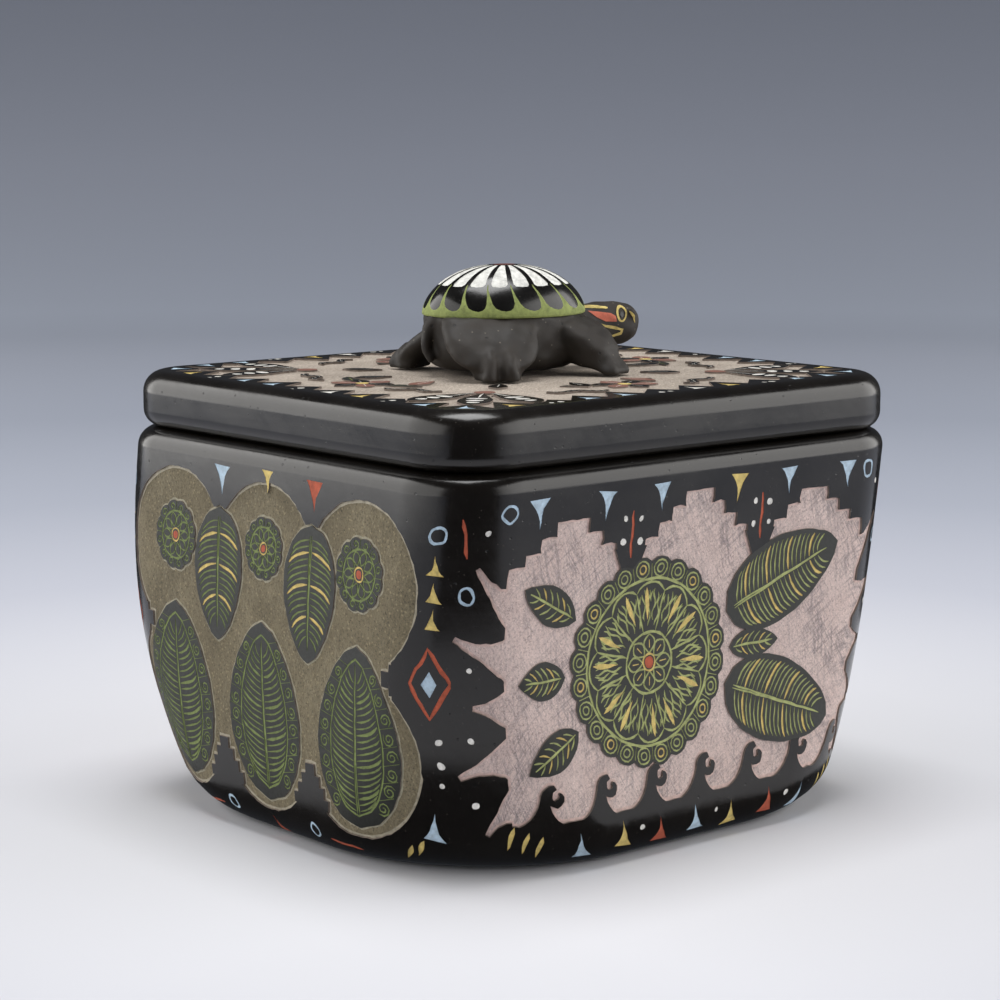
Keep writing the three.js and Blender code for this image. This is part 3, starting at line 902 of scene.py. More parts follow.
def box_skin():
    h, f, w = BOX_HEIGHT, FLOOR, WALL
    top = h - RIM_OUTER_ROUNDING
    lip = h - RIM_INNER_ROUNDING
    segments = [
        arc_segment((FOOT_ROUNDING, FOOT_ROUNDING), FOOT_ROUNDING, -90, 0, 12),
        line_segment((FOOT_ROUNDING, 0), (top, 0), 30),
        arc_segment((top, RIM_OUTER_ROUNDING), RIM_OUTER_ROUNDING, 0, 90, 8),
        line_segment((h, RIM_OUTER_ROUNDING), (h, w - RIM_INNER_ROUNDING), 2),
        arc_segment((lip, w - RIM_INNER_ROUNDING), RIM_INNER_ROUNDING, 90, 180, 6),
        line_segment((lip, w), (f + INSIDE_FILLET, w), 20),
        arc_segment((f + INSIDE_FILLET, w + INSIDE_FILLET), INSIDE_FILLET, 0, -90, 10),
    ]

    def corner(z):
        return RIM_CORNER + (FOOT_CORNER - RIM_CORNER) * np.clip(1 - z / h, 0, 1) ** CORNER_EASE

    def drift(z):
        lean = DRIFT * np.sin(math.pi * z / h)
        return lean * math.cos(DRIFT_ANGLE), lean * math.sin(DRIFT_ANGLE)

    return Skin(BOX_HALF, corner, drift, segments)


def make_box(finishes):
    skin, mesh = box_skin(), Mesh()
    art_low, art_high = 2.5, skin.starts[2]
    s = columns()
    sides = skin.levels(art_low, art_high)
    for face, design in enumerate([blossom_panel, leaf_panel] * 2):
        reach = skin.half[face % 2] - RIM_CORNER + math.pi * RIM_CORNER / 4
        art = Drawing("polished")
        design(art, reach)
        outline = [(x, art_low) for x in s * reach] + [(reach, t) for t in sides[1:-1]]
        outline += [(x, art_high) for x in (s * reach)[::-1]] + [(-reach, t) for t in sides[-2:0:-1]]
        heights = np.linspace(art_low, art_high, 36)[1:-1]
        inner = [(x, t) for x in np.linspace(-reach, reach, 58)[1:-1] for t in heights]

        def place(flat, face=face, reach=reach):
            at_s, at_t = np.clip(flat[:, 0] / reach, -1, 1), flat[:, 1]
            return skin.point(face, at_s, at_t), skin.normal(face, at_s, at_t)

        art.cut_into(mesh, place, outline, inner)
    close(mesh, skin, 0, False, "foot")
    wrap(mesh, skin, 0, art_low, "polished")
    wrap(mesh, skin, art_high, skin.starts[4], "polished")
    wrap(mesh, skin, skin.starts[4], skin.starts[-1], "inside")
    close(mesh, skin, skin.starts[-1], True, "inside")
    return mesh.object("box_body", finishes)


def lid_skin():
    u, e = BOX_HEIGHT, FLANGE_EDGE
    outer = LID_HALF[0] - flange_high[0]
    inner = outer + FLANGE_THICKNESS
    foot = flange_low[2]
    top, bottom = LID_TOP - LID_TOP_ROUNDING, u + LID_BOTTOM_ROUNDING
    fillet = LID_STEP_FILLET
    segments = [
        arc_segment((u - RECESS_FILLET, inner + RECESS_FILLET), RECESS_FILLET, 90, 0, 6),
        line_segment((u - RECESS_FILLET, inner), (foot + e, inner), 2),
        arc_segment((foot + e, inner - e), e, 180, 270, 5),
        line_segment((foot, inner - e), (foot, outer + e), 2),
        arc_segment((foot + e, outer + e), e, -90, 0, 5),
        line_segment((foot + e, outer), (u - fillet, outer), 2),
        arc_segment((u - fillet, outer - fillet), fillet, 180, 90, 4),
        line_segment((u, outer - fillet), (u, LID_BOTTOM_ROUNDING), 2),
        arc_segment((bottom, LID_BOTTOM_ROUNDING), LID_BOTTOM_ROUNDING, -90, 0, 8),
        line_segment((bottom, 0), (top, 0), 3),
        arc_segment((top, LID_TOP_ROUNDING), LID_TOP_ROUNDING, 0, 90, 9),
    ]
    return Skin(LID_HALF, lambda z: np.full_like(z, LID_CORNER), lambda z: (0, 0), segments)


def make_lid(finishes):
    skin, mesh = lid_skin(), Mesh()
    rim = skin.rim(skin.starts[-1])
    half = LID_HALF - LID_TOP_ROUNDING
    art = lid_top_drawing(half, LID_CORNER - LID_TOP_ROUNDING - 1.5)
    x_reach, y_reach = half - 3
    depths = np.linspace(-y_reach, y_reach, 22)
    inner = [(x, y) for x in np.linspace(-x_reach, x_reach, 24) for y in depths]

    def place(flat):
        surface = np.column_stack([flat, np.full(len(flat), rim[0, 2])])
        return surface, np.tile([0.0, 0.0, 1.0], (len(flat), 1))

    art.cut_into(mesh, place, [tuple(p) for p in rim[:, :2]], inner)
    close(mesh, skin, 0, False, "inside")
    wrap(mesh, skin, 0, skin.starts[7], "inside")
    wrap(mesh, skin, skin.starts[7], skin.starts[-1], "polished")
    return mesh.object("lid_body", finishes)


def make_shell(finishes):
    art, size = shell_drawing()
    mesh = Mesh()
    height = SHELL_TOP - SHELL_BASE
    cos, sin = math.cos(TURTLE_TURN), math.sin(TURTLE_TURN)
    turn = np.array([[cos, sin], [-sin, cos]])

    def plan(unit):
        return unit * SHELL_HALF @ turn + TURTLE_PLACE

    def dome(flat):
        reach = np.linalg.norm(flat, axis=1)
        way = flat / np.maximum(reach, 1e-9)[:, None]
        share = np.sin(0.5 * math.pi * np.clip(reach / size, 0, 1)) ** 0.98
        rise = (height - SHELL_EDGE) * (1 - share ** SHELL_FLATNESS) ** SHELL_STEEPNESS
        return np.column_stack([plan(way * share[:, None]), SHELL_BASE + SHELL_EDGE + rise])

    def place(flat):
        step = 0.02
        across = dome(flat + [step, 0]) - dome(flat - [step, 0])
        along = dome(flat + [0, step]) - dome(flat - [0, step])
        n = np.cross(across, along)
        rim = np.linalg.norm(flat, axis=1) > size * 0.995
        way = flat[rim] / np.linalg.norm(flat[rim], axis=1)[:, None] / SHELL_HALF @ turn
        n[rim] = np.column_stack([way, np.full(rim.sum(), 0.02)])
        return dome(flat), n / np.linalg.norm(n, axis=1, keepdims=True)

    rim = circle(size, 120)
    wide = len(rim)
    inner = [p for r in np.linspace(0.08, 0.98, 19) for p in circle(size * r, max(12, int(96 * r)))]
    art.cut_into(mesh, place, [tuple(p) for p in rim], inner)
    rings = [np.column_stack([plan(rim / size * share), np.full(wide, SHELL_BASE + rise)])
             for share, rise in [(1.0, SHELL_EDGE), (0.995, 0.12), (0.975, 0.0), (0.9, 0.0)]]
    for k, (upper, lower) in enumerate(zip(rings[:-1], rings[1:])):
        way = np.column_stack([rim / size @ turn, np.full(wide, -0.3 - 0.8 * k)])
        way /= np.linalg.norm(way, axis=1, keepdims=True)
        faces = bands(2, wide, closed=True, flip=True)
        mesh.add(np.vstack([upper, lower]), np.vstack([way, way]), faces, "shell_lime")
    belly = np.vstack([rings[-1], np.append(rings[-1][:, :2].mean(axis=0), SHELL_BASE)])
    mesh.add(belly, [(0, 0, -1)] * len(belly), cap(wide, 0, wide, flip=True), "smoked")
    return mesh.object("turtle_carapace", finishes)


# The turtle's clay, in its own frame: z 0 on the lid and +X to the nose


def loft(rings):
    """A closed form through rings that have the same number of points."""
    wide, count = len(rings[0]), len(rings)
    points = np.vstack([*rings, [rings[0].mean(axis=0)], [rings[-1].mean(axis=0)]])
    faces = bands(count, wide, closed=True)
    faces += cap(wide, 0, count * wide, flip=True) + cap(wide, (count - 1) * wide, count * wide + 1)
    return points.tolist(), faces


def squarish(half_x, half_y, count=32, power=0.8):
    """An oval that's a little squarer than an ellipse."""
    p = circle(1, count)
    return np.sign(p) * np.abs(p) ** power * [half_x, half_y]


def torso_form():
    levels = [(0.4, 9.4, 7.2), (0.8, 11.2, 8.8), (1.5, 12.5, 10.0), (2.6, 13.3, 10.6), (4.5, 13.7, 10.9),
              (7.5, 13.75, 10.9), (9.5, 13.7, 10.75)]
    return loft([np.column_stack([circle(1, 48) * [rx, ry], np.full(48, z)]) for z, rx, ry in levels])


def head_form():
    sections = [(10, 6.3, 3.2, 3.2), (14, 6.6, 3.4, 3.3), (17, 6.9, 3.45, 3.4), (19.5, 6.95, 3.5, 3.4),
                (21.5, 6.8, 3.6, 3.4), (23.2, 6.75, 3.35, 3.2), (24.6, 6.8, 2.6, 2.5), (25.5, 6.9, 1.6, 1.6),
                (25.9, 6.95, 0.6, 0.6)]
    rings = []
    for x, z, high, wide in sections:
        oval = squarish(wide, high)
        rings.append(np.column_stack([np.full(len(oval), x), oval[:, 0], oval[:, 1] + z]))
    return loft(rings)


def balls(path, sides=16, rows=9):
    """Overlapping balls along a path of (x, y, z, radius), as loose shells."""
    verts, faces = [], []
    for x, y, z, r in path:
        faces += [tuple(i + len(verts) for i in face) for face in bands(rows, sides, closed=True, flip=True)]
        for lat in math.pi * np.arange(rows) / (rows - 1):
            for lon in 2 * math.pi * np.arange(sides) / sides:
                around = r * math.sin(lat)
                verts.append((x + around * math.cos(lon), y + around * math.sin(lon), z + r * math.cos(lat)))
    return verts, faces


def along(path, count):
    """Evenly spaced stations on a path of (x, y, z, radius)."""
    path = np.asarray(path, float)
    t = np.linspace(0, len(path) - 1, count)
    return np.column_stack([np.interp(t, range(len(path)), path[:, k]) for k in range(4)])


def leg_forms(foot, way, levels, toes):
    """One heavy carved leg in levels of height, shift outwards and half sizes, with two toe ridges."""
    foot = np.array(foot)
    way = np.asarray(way) / np.linalg.norm(way)
    side = np.array([-way[1], way[0]])
    rings = []
    for z, out, along_it, across_it in levels:
        oval = squarish(along_it, across_it)
        plan = oval[:, :1] * way + oval[:, 1:] * side + foot + way * out
        rings.append(np.column_stack([plan, np.full(len(plan), z)]))
    forms = [loft(rings)]
    for across in (-toes[0], toes[0]):
        places = [(*(foot + way * out + side * across * (1 - 0.08 * z)), z, r) for z, out, r in toes[1:]]
        forms.append(balls(along(places, 8)))
    return forms


def turtle_forms():
    forms = [torso_form(), head_form(), balls([(23.0, 2.6, 8.6, 1.1), (23.0, -2.6, 8.6, 1.1)])]
    near = [(0, 0.2, 2.4, 3.7), (0.5, 0.15, 2.4, 3.7), (1.3, -0.1, 2.4, 4.0), (2.2, -0.5, 2.8, 5.6),
            (3.0, -1.2, 3.1, 6.6), (4.2, -2.2, 3.4, 7.3), (6.0, -3.6, 3.3, 7.7), (7.6, -5.0, 3.0, 7.7),
            (9.4, -6.8, 2.4, 7.4)]
    rear = [(0, 0.2, 2.4, 3.6), (0.5, 0.15, 2.4, 3.6), (1.3, -0.1, 2.4, 3.6), (2.2, -0.8, 2.6, 4.1),
            (3.0, -1.7, 2.8, 4.6), (4.2, -3.2, 2.9, 5.0), (5.6, -5.0, 2.8, 5.2), (6.8, -6.8, 2.4, 4.8),
            (7.6, -8.0, 2.0, 4.0)]
    front = [(0, 2.0, 1.4, 3.0), (0.5, 1.8, 1.6, 3.0), (1.0, 0.2, 3.0, 3.2), (1.6, -2.2, 4.6, 3.7),
             (2.8, -3.4, 5.0, 4.2), (4.2, -4.0, 5.4, 4.8), (6.0, -5.2, 5.0, 5.4), (7.6, -6.4, 4.2, 5.4),
             (8.6, -7.4, 3.0, 4.2)]
    near_toes = (1.95, (0.6, 2.6, 1.3), (1.6, 2.5, 1.25), (2.7, 2.0, 1.15), (4.0, 0.5, 1.0))
    rear_toes = (2.1, (0.6, 2.2, 1.15), (1.5, 1.9, 1.05), (2.6, 1.0, 0.95), (3.4, 0.2, 0.8))
    front_toes = (1.7, (0.5, 2.7, 0.9), (1.4, 2.0, 0.85), (2.5, 1.2, 0.75), (3.4, 0.6, 0.7))
    forms += leg_forms((-9.2, -12.9), (-0.3, -1), near, near_toes)
    forms += leg_forms((-9.9, 12.5), (-0.55, 1), rear, rear_toes)
    forms += leg_forms((11.2, -12.8), (0.45, -1), front, front_toes)
    forms += leg_forms((10.5, 14), (0.45, 1), front, front_toes)
    tail = [(-12.9, -0.2, 8.6, 1.4), (-14.2, -0.2, 7.4, 1.15), (-14.8, -0.3, 5.6, 0.95),
            (-14.8, -0.5, 3.9, 0.85), (-14.2, -0.8, 2.6, 0.75)]
    forms.append(balls(along(tail, 16)))
    return forms


def make_turtle(finishes):
    """The turtle's forms grown together, smoothed and made a little uneven by hand."""
    verts, faces = [], []
    for more, rows in turtle_forms():
        faces += [tuple(i + len(verts) for i in row) for row in rows]
        verts += list(more)
    mesh = bpy.data.meshes.new("turtle_body")
    mesh.from_pydata([tuple(c * MM for c in v) for v in verts], [], faces)
    piece = place_object("turtle_body", mesh)
    remesh = piece.modifiers.new("clay", "REMESH")
    remesh.mode = "VOXEL"
    remesh.voxel_size = CLAY_GRAIN * MM
    smooth = piece.modifiers.new("thumbed", "SMOOTH")
    smooth.factor = 0.5
    smooth.iterations = 12
    graph = bpy.context.evaluated_depsgraph_get()
    solid = bpy.data.meshes.new_from_object(piece.evaluated_get(graph))
    piece.modifiers.clear()
    piece.data = solid
    co = np.empty(len(solid.vertices) * 3)
    solid.vertices.foreach_get("co", co)
    co = co.reshape(-1, 3) / MM
    co += CLAY_WAVER * np.sin(co[:, [1, 2, 0]] * 1.7 + [0.3, 1.1, 2.0]) * np.sin(co[:, [2, 0, 1]] * 1.2)
    co[:, 2] = np.maximum(co[:, 2], CLAY_REST)
    turn = Matrix.Rotation(TURTLE_TURN, 3, "Z")
    co = co @ np.array(turn).T + [*TURTLE_PLACE, LID_TOP]
    solid.vertices.foreach_set("co", (co * MM).ravel())
    solid.materials.clear()
    solid.materials.append(finishes["smoked"])
    solid.polygons.foreach_set("use_smooth", [True] * len(solid.polygons))
    solid.update()
    return piece


def make_head_marks(turtle, finishes):
    """Painted marks on the head: an eye ring, a cheek patch and the lines round them, laid on the clay."""
    solid = turtle.data
    places = [v.co / MM for v in solid.vertices]
    tree = BVHTree.FromPolygons(places, [tuple(p.vertices) for p in solid.polygons])
    turn = Matrix.Rotation(TURTLE_TURN, 3, "Z")
    mesh = Mesh()

    def paint(outline, finish, side):
        edge = closed_steps(outline, MARK_STEP)
        xs, zs = [np.arange(*ends, MARK_GRID) for ends in zip(edge.min(axis=0), edge.max(axis=0))]
        grid = np.array([(x, z) for x in xs for z in zs])
        fill = grid[inside(edge, grid)] if len(grid) else grid
        points = [Vector(p) for p in edge] + [Vector(p) for p in fill]
        found = delaunay_2d_cdt(points, loop_edges(len(edge)), [], 0, 1e-4, False)
        places, normals = [], []
        for flat in found[0]:
            start = turn @ Vector((flat.x, side * 9, flat.y)) + Vector((*TURTLE_PLACE, LID_TOP))
            hit = tree.ray_cast(start, turn @ Vector((0, -side, 0)))
            if hit[0] is None:
                hit = tree.find_nearest(start - turn @ Vector((0, side * 6, 0)))
            places.append(tuple(hit[0] + hit[1] * MARK_LIFT))
            normals.append(tuple(hit[1]))
        flat = np.array([tuple(p) for p in found[0]])
        rows = [tuple(face) for face in found[2] if inside(edge, flat[list(face)].mean(axis=0)[None])[0]]
        mesh.add(places, normals, rows if side < 0 else [row[::-1] for row in rows], finish)

    def line(points, width, side):
        paint(ribbon(open_steps(points, 0.5), width), "yellow_mark", side)

    for side in (1, -1):
        eye = put(circle(1, 20) * [0.85, 1.2], (20.9, 8.5), -14)
        paint(ribbon(eye, 0.38, closed=True), "yellow_mark", side)
        paint(put(circle(1, 12) * [0.34, 0.5], (20.9, 8.4), -14), "pupil", side)
        patch = [(14.6, 9.2), (16.6, 9.0), (18.7, 8.7), (19.6, 8.2), (19.7, 7.3), (17.6, 7.4), (15.8, 8.2)]
        paint(patch, "red_mark", side)
        line([(13.9, 9.75), (16, 9.8), (18.5, 9.55)], 0.42, side)
        jaw = [(14.2, 7.95), (14.8, 7.05), (16.6, 6.8), (19.4, 6.3), (20.9, 5.9), (20.7, 5.3), (18.2, 4.7)]
        line(jaw, 0.46, side)
        line([(22.3, 8.9), (23.2, 8.0), (23.6, 6.9)], 0.36, side)
    return mesh.object("head_marks", finishes)


# Materials


class Nodes:
    """A material's node tree, built in a few words. A value may be a plain one or another node's output."""

    def __init__(self, name):
        self.material = bpy.data.materials.new(name)
        self.material.use_nodes = True
        self.tree = self.material.node_tree
        self.shader = self.tree.nodes["Principled BSDF"]
        self.place = self.add("ShaderNodeTexCoord").outputs["Object"]

    def give(self, node, key, value):
        if isinstance(value, bpy.types.NodeSocket):
            self.tree.links.new(value, node.inputs[key])
        else:
            node.inputs[key].default_value = value

    def add(self, kind, **values):
        node = self.tree.nodes.new(kind)
        for key, value in values.items():
            if key in node.inputs:
                self.give(node, key, value)
            else:
                setattr(node, key, value)
        return node

    def stretched(self, scale, turn=(0, 0, 0)):
        mapping = self.add("ShaderNodeMapping", vector_type="TEXTURE", Scale=[1 / s for s in scale],
                           Rotation=turn, Vector=self.place)
        return mapping.outputs["Vector"]

    def noise(self, scale, detail=3.0, roughness=0.55, where=None):
        where = where or self.place
        node = self.add("ShaderNodeTexNoise", Scale=scale, Detail=detail, Roughness=roughness, Vector=where)
        return node.outputs["Fac"]

    def spots(self, scale, size, softness=0.03):
        """Sparse round pits: 1 inside, 0 outside."""
        node = self.add("ShaderNodeTexVoronoi", Scale=scale, Randomness=1.0, Vector=self.place)
        return self.between(node.outputs["Distance"], size, size + softness, 1.0, 0.0)

    def between(self, value, low, high, to_low=0.0, to_high=1.0):
        limits = {"From Min": low, "From Max": high, "To Min": to_low, "To Max": to_high}
        return self.add("ShaderNodeMapRange", **limits, Value=value).outputs["Result"]

    def blend(self, share, first, second):
        node = self.add("ShaderNodeMix", data_type="RGBA")
        for key, value in ((0, share), (6, first), (7, second)):
            self.give(node, key, value)
        return node.outputs[2]

    def reckon(self, operation, first, *others):
        for other in others:
            node = self.add("ShaderNodeMath", operation=operation)
            self.give(node, 0, first)
            self.give(node, 1, other)
            first = node.outputs[0]
        return first

    def sum(self, *values):
        return self.reckon("ADD", *values)

    def times(self, *values):
        return self.reckon("MULTIPLY", *values)

    def weighted(self, *pairs):
        """The sum of values, each times its own factor."""
        return self.sum(*[self.times(value, factor) for value, factor in pairs])

    def finish(self, colour, roughness, height=None, distance=0.1):
        self.give(self.shader, "Base Color", colour)
        self.give(self.shader, "Roughness", roughness)
        if height is not None:
            bump = self.add("ShaderNodeBump", Strength=1.0, Distance=distance * MM, Height=height)
            self.give(self.shader, "Normal", bump.outputs["Normal"])
        return self.material


def polished_clay(name, colour=(15, 12, 9), roughness=0.17):
    """Stone-polished black clay: fine scratches, faint streaks and clouds, tiny pits darkened as painted
    shade, and pale specks.
    """
    n = Nodes(name)
    streaks = n.noise(1.0, 3.0, 0.6, n.stretched((60, 60, 700)))
    upright = n.noise(1.0, 3.0, 0.65, n.stretched((2400, 2400, 90), (0.12, 0.1, 0.4)))
    slant = n.noise(1.0, 3.0, 0.6, n.stretched((180, 180, 2600), (0.75, 0.75, 0.2)))
    clouds = n.noise(70, 4.0)
    grain = n.noise(3400, 3.0, 0.7)
    pits = n.spots(420, 0.055)
    specks = n.spots(760, 0.05)
    dust = n.spots(1500, 0.07)
    base = n.blend(n.between(clouds, 0.35, 0.7), linear(colour), linear(colour, lift=8))
    base = n.blend(n.times(n.between(upright, 0.62, 0.72), 0.14), base, linear((70, 64, 58)))
    base = n.blend(n.times(n.sum(specks, n.times(dust, 0.5)), 0.35), base, linear((104, 98, 90)))
    # Painted shade: the pits are darkened where shade falls in their dents.
    base = n.blend(pits, base, linear((6, 6, 6)))
    rough = n.sum(n.times(streaks, 0.6), n.times(slant, 0.5), clouds, n.times(grain, 0.4))
    rough = n.between(rough, 1.0, 1.5, roughness - 0.03, roughness + 0.1)
    height = n.weighted((streaks, 0.022), (upright, 0.016), (slant, 0.012), (clouds, 0.45), (grain, 0.014),
                        (pits, -0.35))
    return n.finish(base, rough, height, 0.12)


def carved_ground(name, low, high, scratch, scratch_share, grit_share, sand_share=0.0):
    """Ground scraped below the polish: gritty, with the scraping's fine crossed strokes showing."""
    n = Nodes(name)
    grit = n.noise(2600, 4.0, 0.8)
    fine = n.noise(4200, 3.0, 0.7)
    clouds = n.noise(150, 4.0, 0.6)
    sand = n.spots(1300, 0.2, 0.1)
    marks = []
    for turn in ((0.9, 0.8, 0.3), (-0.8, -0.95, -0.4), (1.45, 1.35, 0.2)):
        marks.append(n.noise(1.0, 2.0, 0.6, n.stretched((220, 220, 5600), turn)))
    rubbed = n.between(n.noise(95, 3.0, 0.6), 0.42, 0.6, 0.3, 1.0)
    base = n.blend(n.between(clouds, 0.3, 0.7), linear(low), linear(high))
    for mark in marks:
        base = n.blend(n.times(n.between(mark, 0.5, 0.62), rubbed, scratch_share), base, linear(scratch))
    base = n.blend(n.times(sand, sand_share), base, linear(high, 1.35))
    base = n.blend(n.between(grit, 0.5, 0.66, 0.0, grit_share), base, linear(low, 0.5))
    base = n.blend(n.between(fine, 0.54, 0.7, 0.0, 0.45), base, linear(high, 1.2))
    height = n.weighted((grit, 0.8), (fine, 0.4), (sand, 0.25), *[(mark, 0.12) for mark in marks])
    return n.finish(base, 0.85, height, 0.16)


def dark_motif(name, colour=(20, 22, 16)):
    n = Nodes(name)
    grain = n.noise(1800, 3.0, 0.6)
    clouds = n.noise(200, 2.0)
    base = n.blend(n.between(clouds, 0.3, 0.7), linear(colour), linear(colour, lift=9))
    return n.finish(base, n.between(grain, 0.3, 0.7, 0.46, 0.64), n.times(grain, 0.15), 0.1)


def line_paint(name, colour, wear):
    """Thin paint rubbed into a cut: uneven, with dark clay showing through in specks."""
    n = Nodes(name)
    patches = n.noise(900, 4.0, 0.7)
    fine = n.noise(3600, 2.0, 0.6)
    base = n.blend(n.between(patches, 0.35, 0.65), linear(colour), linear(colour, 0.82))
    bare = n.between(n.sum(patches, n.times(fine, 0.6)), 0.93, 1.15, 0.0, wear)
    base = n.blend(bare, base, linear(colour, 0.35))
    return n.finish(base, 0.8, n.weighted((patches, 0.4), (fine, 0.3)), 0.08)


def smoked_clay(name, colour, roughness=0.62):
    """Unpolished smoked clay: finger-smoothed, finely grained, with small pale specks."""
    n = Nodes(name)
    clouds = n.noise(170, 4.0, 0.6)
    grain = n.noise(2400, 3.0, 0.65)
    strokes = n.noise(1.0, 3.0, 0.6, n.stretched((250, 900, 250), (0.2, 0.3, 0.9)))
    specks = n.spots(640, 0.07)
    pits = n.spots(350, 0.07)
    base = n.blend(n.between(clouds, 0.3, 0.7), linear(colour, 0.72), linear(colour, 1.15))
    base = n.blend(n.times(specks, 0.6), base, linear((120, 112, 100)))
    # Painted shade: the pits are darkened where shade falls in their dents.
    base = n.blend(n.times(pits, 0.8), base, linear((14, 12, 11)))
    rough = n.between(clouds, 0.3, 0.7, roughness - 0.08, roughness + 0.1)
    height = n.weighted((clouds, 0.8), (grain, 0.12), (strokes, 0.15), (pits, -0.4))
    return n.finish(base, rough, height, 0.12)


def make_finishes():
    rosy = ((202, 180, 173), (216, 196, 189), (112, 106, 109), 0.5, 0.6)
    olive = ((96, 87, 66), (118, 108, 84), (160, 151, 126), 0.2, 0.8, 0.5)
    tan = ((160, 148, 135), (184, 172, 159), (118, 108, 99), 0.3, 0.7, 0.4)
    return {
        "polished": polished_clay("polished_clay"),
        "foot": polished_clay("foot_clay", (20, 18, 16), 0.36),
        "inside": smoked_clay("inside_clay", (46, 42, 38)),
        "smoked": smoked_clay("smoked_clay", (33, 27, 21)),
        "rosy_ground": carved_ground("rosy_ground", *rosy),
        "olive_ground": carved_ground("olive_ground", *olive),
        "tan_ground": carved_ground("tan_ground", *tan),
        "motif": dark_motif("dark_motif"),
        "cut_edge": line_paint("cut_edge", (134, 122, 112), 0.3),
        # Pale rim round the olive panel's motifs: a cut line, and partly painted highlight on their raised
        # edges.
        "edge_line": line_paint("edge_line", (166, 160, 138), 0.4),
        "rosy_edge": line_paint("rosy_edge", (216, 188, 179), 0.12),
        "olive_edge": line_paint("olive_edge", (172, 164, 144), 0.35),
        "pale_edge": line_paint("pale_edge", (176, 162, 150), 0.35),
        "lime": line_paint("lime_line", (176, 182, 120), 0.3),
        "olive_line": line_paint("olive_line", (124, 138, 80), 0.45),
        "yellow": line_paint("yellow_paint", (220, 196, 118), 0.2),
        "red": line_paint("red_paint", (184, 88, 60), 0.25),
        "pale_blue": line_paint("pale_blue_paint", (186, 208, 224), 0.18),
        "white": line_paint("white_paint", (234, 232, 226), 0.1),
        "muted_red": line_paint("muted_red_paint", (128, 84, 70), 0.4),
    }


def make_shell_finishes(finishes):
    return {
        "shell_black": polished_clay("shell_black", (12, 11, 10), 0.14),
        "shell_lime": line_paint("shell_lime", (150, 162, 92), 0.35),
        "petal_white": line_paint("petal_white", (236, 236, 230), 0.12),
        "apex_brown": line_paint("apex_brown", (116, 60, 46), 0.3),
        "cut_edge": finishes["cut_edge"],
        "smoked": finishes["smoked"],
    }


def make_mark_finishes():
    return {
        "yellow_mark": line_paint("yellow_mark", (216, 194, 116), 0.25),
        "red_mark": line_paint("red_mark", (208, 112, 88), 0.2),
        "pupil": polished_clay("pupil", (14, 13, 12), 0.2),
    }


# Stage


def make_camera():
    cos_rise, sin_rise = math.cos(VIEW_RISE), math.sin(VIEW_RISE)
    back = Vector((math.sin(VIEW_TURN) * cos_rise, -math.cos(VIEW_TURN) * cos_rise, sin_rise))
    right = Vector((math.cos(VIEW_TURN), math.sin(VIEW_TURN), 0))
    up = back.cross(right)
    camera = place_object("camera", bpy.data.cameras.new("camera"))
    camera.data.sensor_width = SENSOR
    camera.data.lens = LENS
    camera.data.clip_start = 0.01
    camera.data.clip_end = 20
    camera.location = (back * VIEW_DISTANCE - right * VIEW_SHIFT[0] + up * VIEW_SHIFT[1]) * MM
    camera.rotation_mode = "QUATERNION"
    camera.rotation_quaternion = back.to_track_quat("Z", "Y")
    bpy.context.scene.camera = camera


def soft_light(name, place, target, size, power, colour=(1, 1, 1)):
    data = bpy.data.lights.new(name, "AREA")
    data.shape = "RECTANGLE"
    data.size, data.size_y = size
    data.energy = power
    data.color = colour
    light = place_object(name, data)
    light.location = place
    light.rotation_mode = "QUATERNION"
    light.rotation_quaternion = (Vector(place) - Vector(target)).to_track_quat("Z", "Y")
    light.visible_camera = False
    return light


def graded_light(name, place, target, size, power, strengths, colour):
    """A soft light whose brightness changes from its left edge, seen from the object, to its right."""
    light = soft_light(name, place, target, size, power, colour)
    light.data.use_nodes = True
    tree = light.data.node_tree
    geometry = tree.nodes.new("ShaderNodeNewGeometry")
    apart = tree.nodes.new("ShaderNodeSeparateXYZ")
    curve = tree.nodes.new("ShaderNodeFloatCurve")
    points = curve.mapping.curves[0].points
    while len(points) < len(strengths):
        points.new(0.5, 0.5)
    for point, (x, y) in zip(points, strengths):
        point.location = (x, y)
        point.handle_type = "VECTOR"
    curve.mapping.update()
    tree.links.new(geometry.outputs["Parametric"], apart.inputs["Vector"])
    tree.links.new(apart.outputs["X"], curve.inputs["Value"])
    tree.links.new(curve.outputs["Value"], tree.nodes["Emission"].inputs["Strength"])


def around(degrees, distance, height):
    """A place by its bearing from the camera's, right-hand side positive."""
    bearing = VIEW_TURN + math.radians(degrees)
    return (distance * math.sin(bearing), -distance * math.cos(bearing), height)


def make_lights():
    centre, level = (0, 0, 0.04), (0, 0, 0.4)
    warm = (1.0, 0.98, 0.95)
    soft_light("soft_top", (0.0, 0.02, 0.95), centre, (0.52, 0.52), 6.6)
    right = [(0.0, 0.0), (0.1, 0.45), (0.3, 0.85), (1.0, 1.0)]
    left = [(0.0, 1.0), (0.5, 0.62), (0.88, 0.5), (1.0, 0.0)]
    graded_light("soft_right", around(83, 0.8, 0.4), level, (1.6, 0.8), 12.0, right, warm)
    graded_light("soft_left", around(-80, 0.7, 0.4), level, (1.66, 0.8), 14.3, left, warm)
    world = bpy.data.worlds.new("room")
    world.use_nodes = True
    world.node_tree.nodes["Background"].inputs["Color"].default_value = (0.8, 0.86, 1.0, 1.0)
    world.node_tree.nodes["Background"].inputs["Strength"].default_value = 0.05
    bpy.context.scene.world = world
    bpy.context.scene.view_settings.view_transform = "Standard"


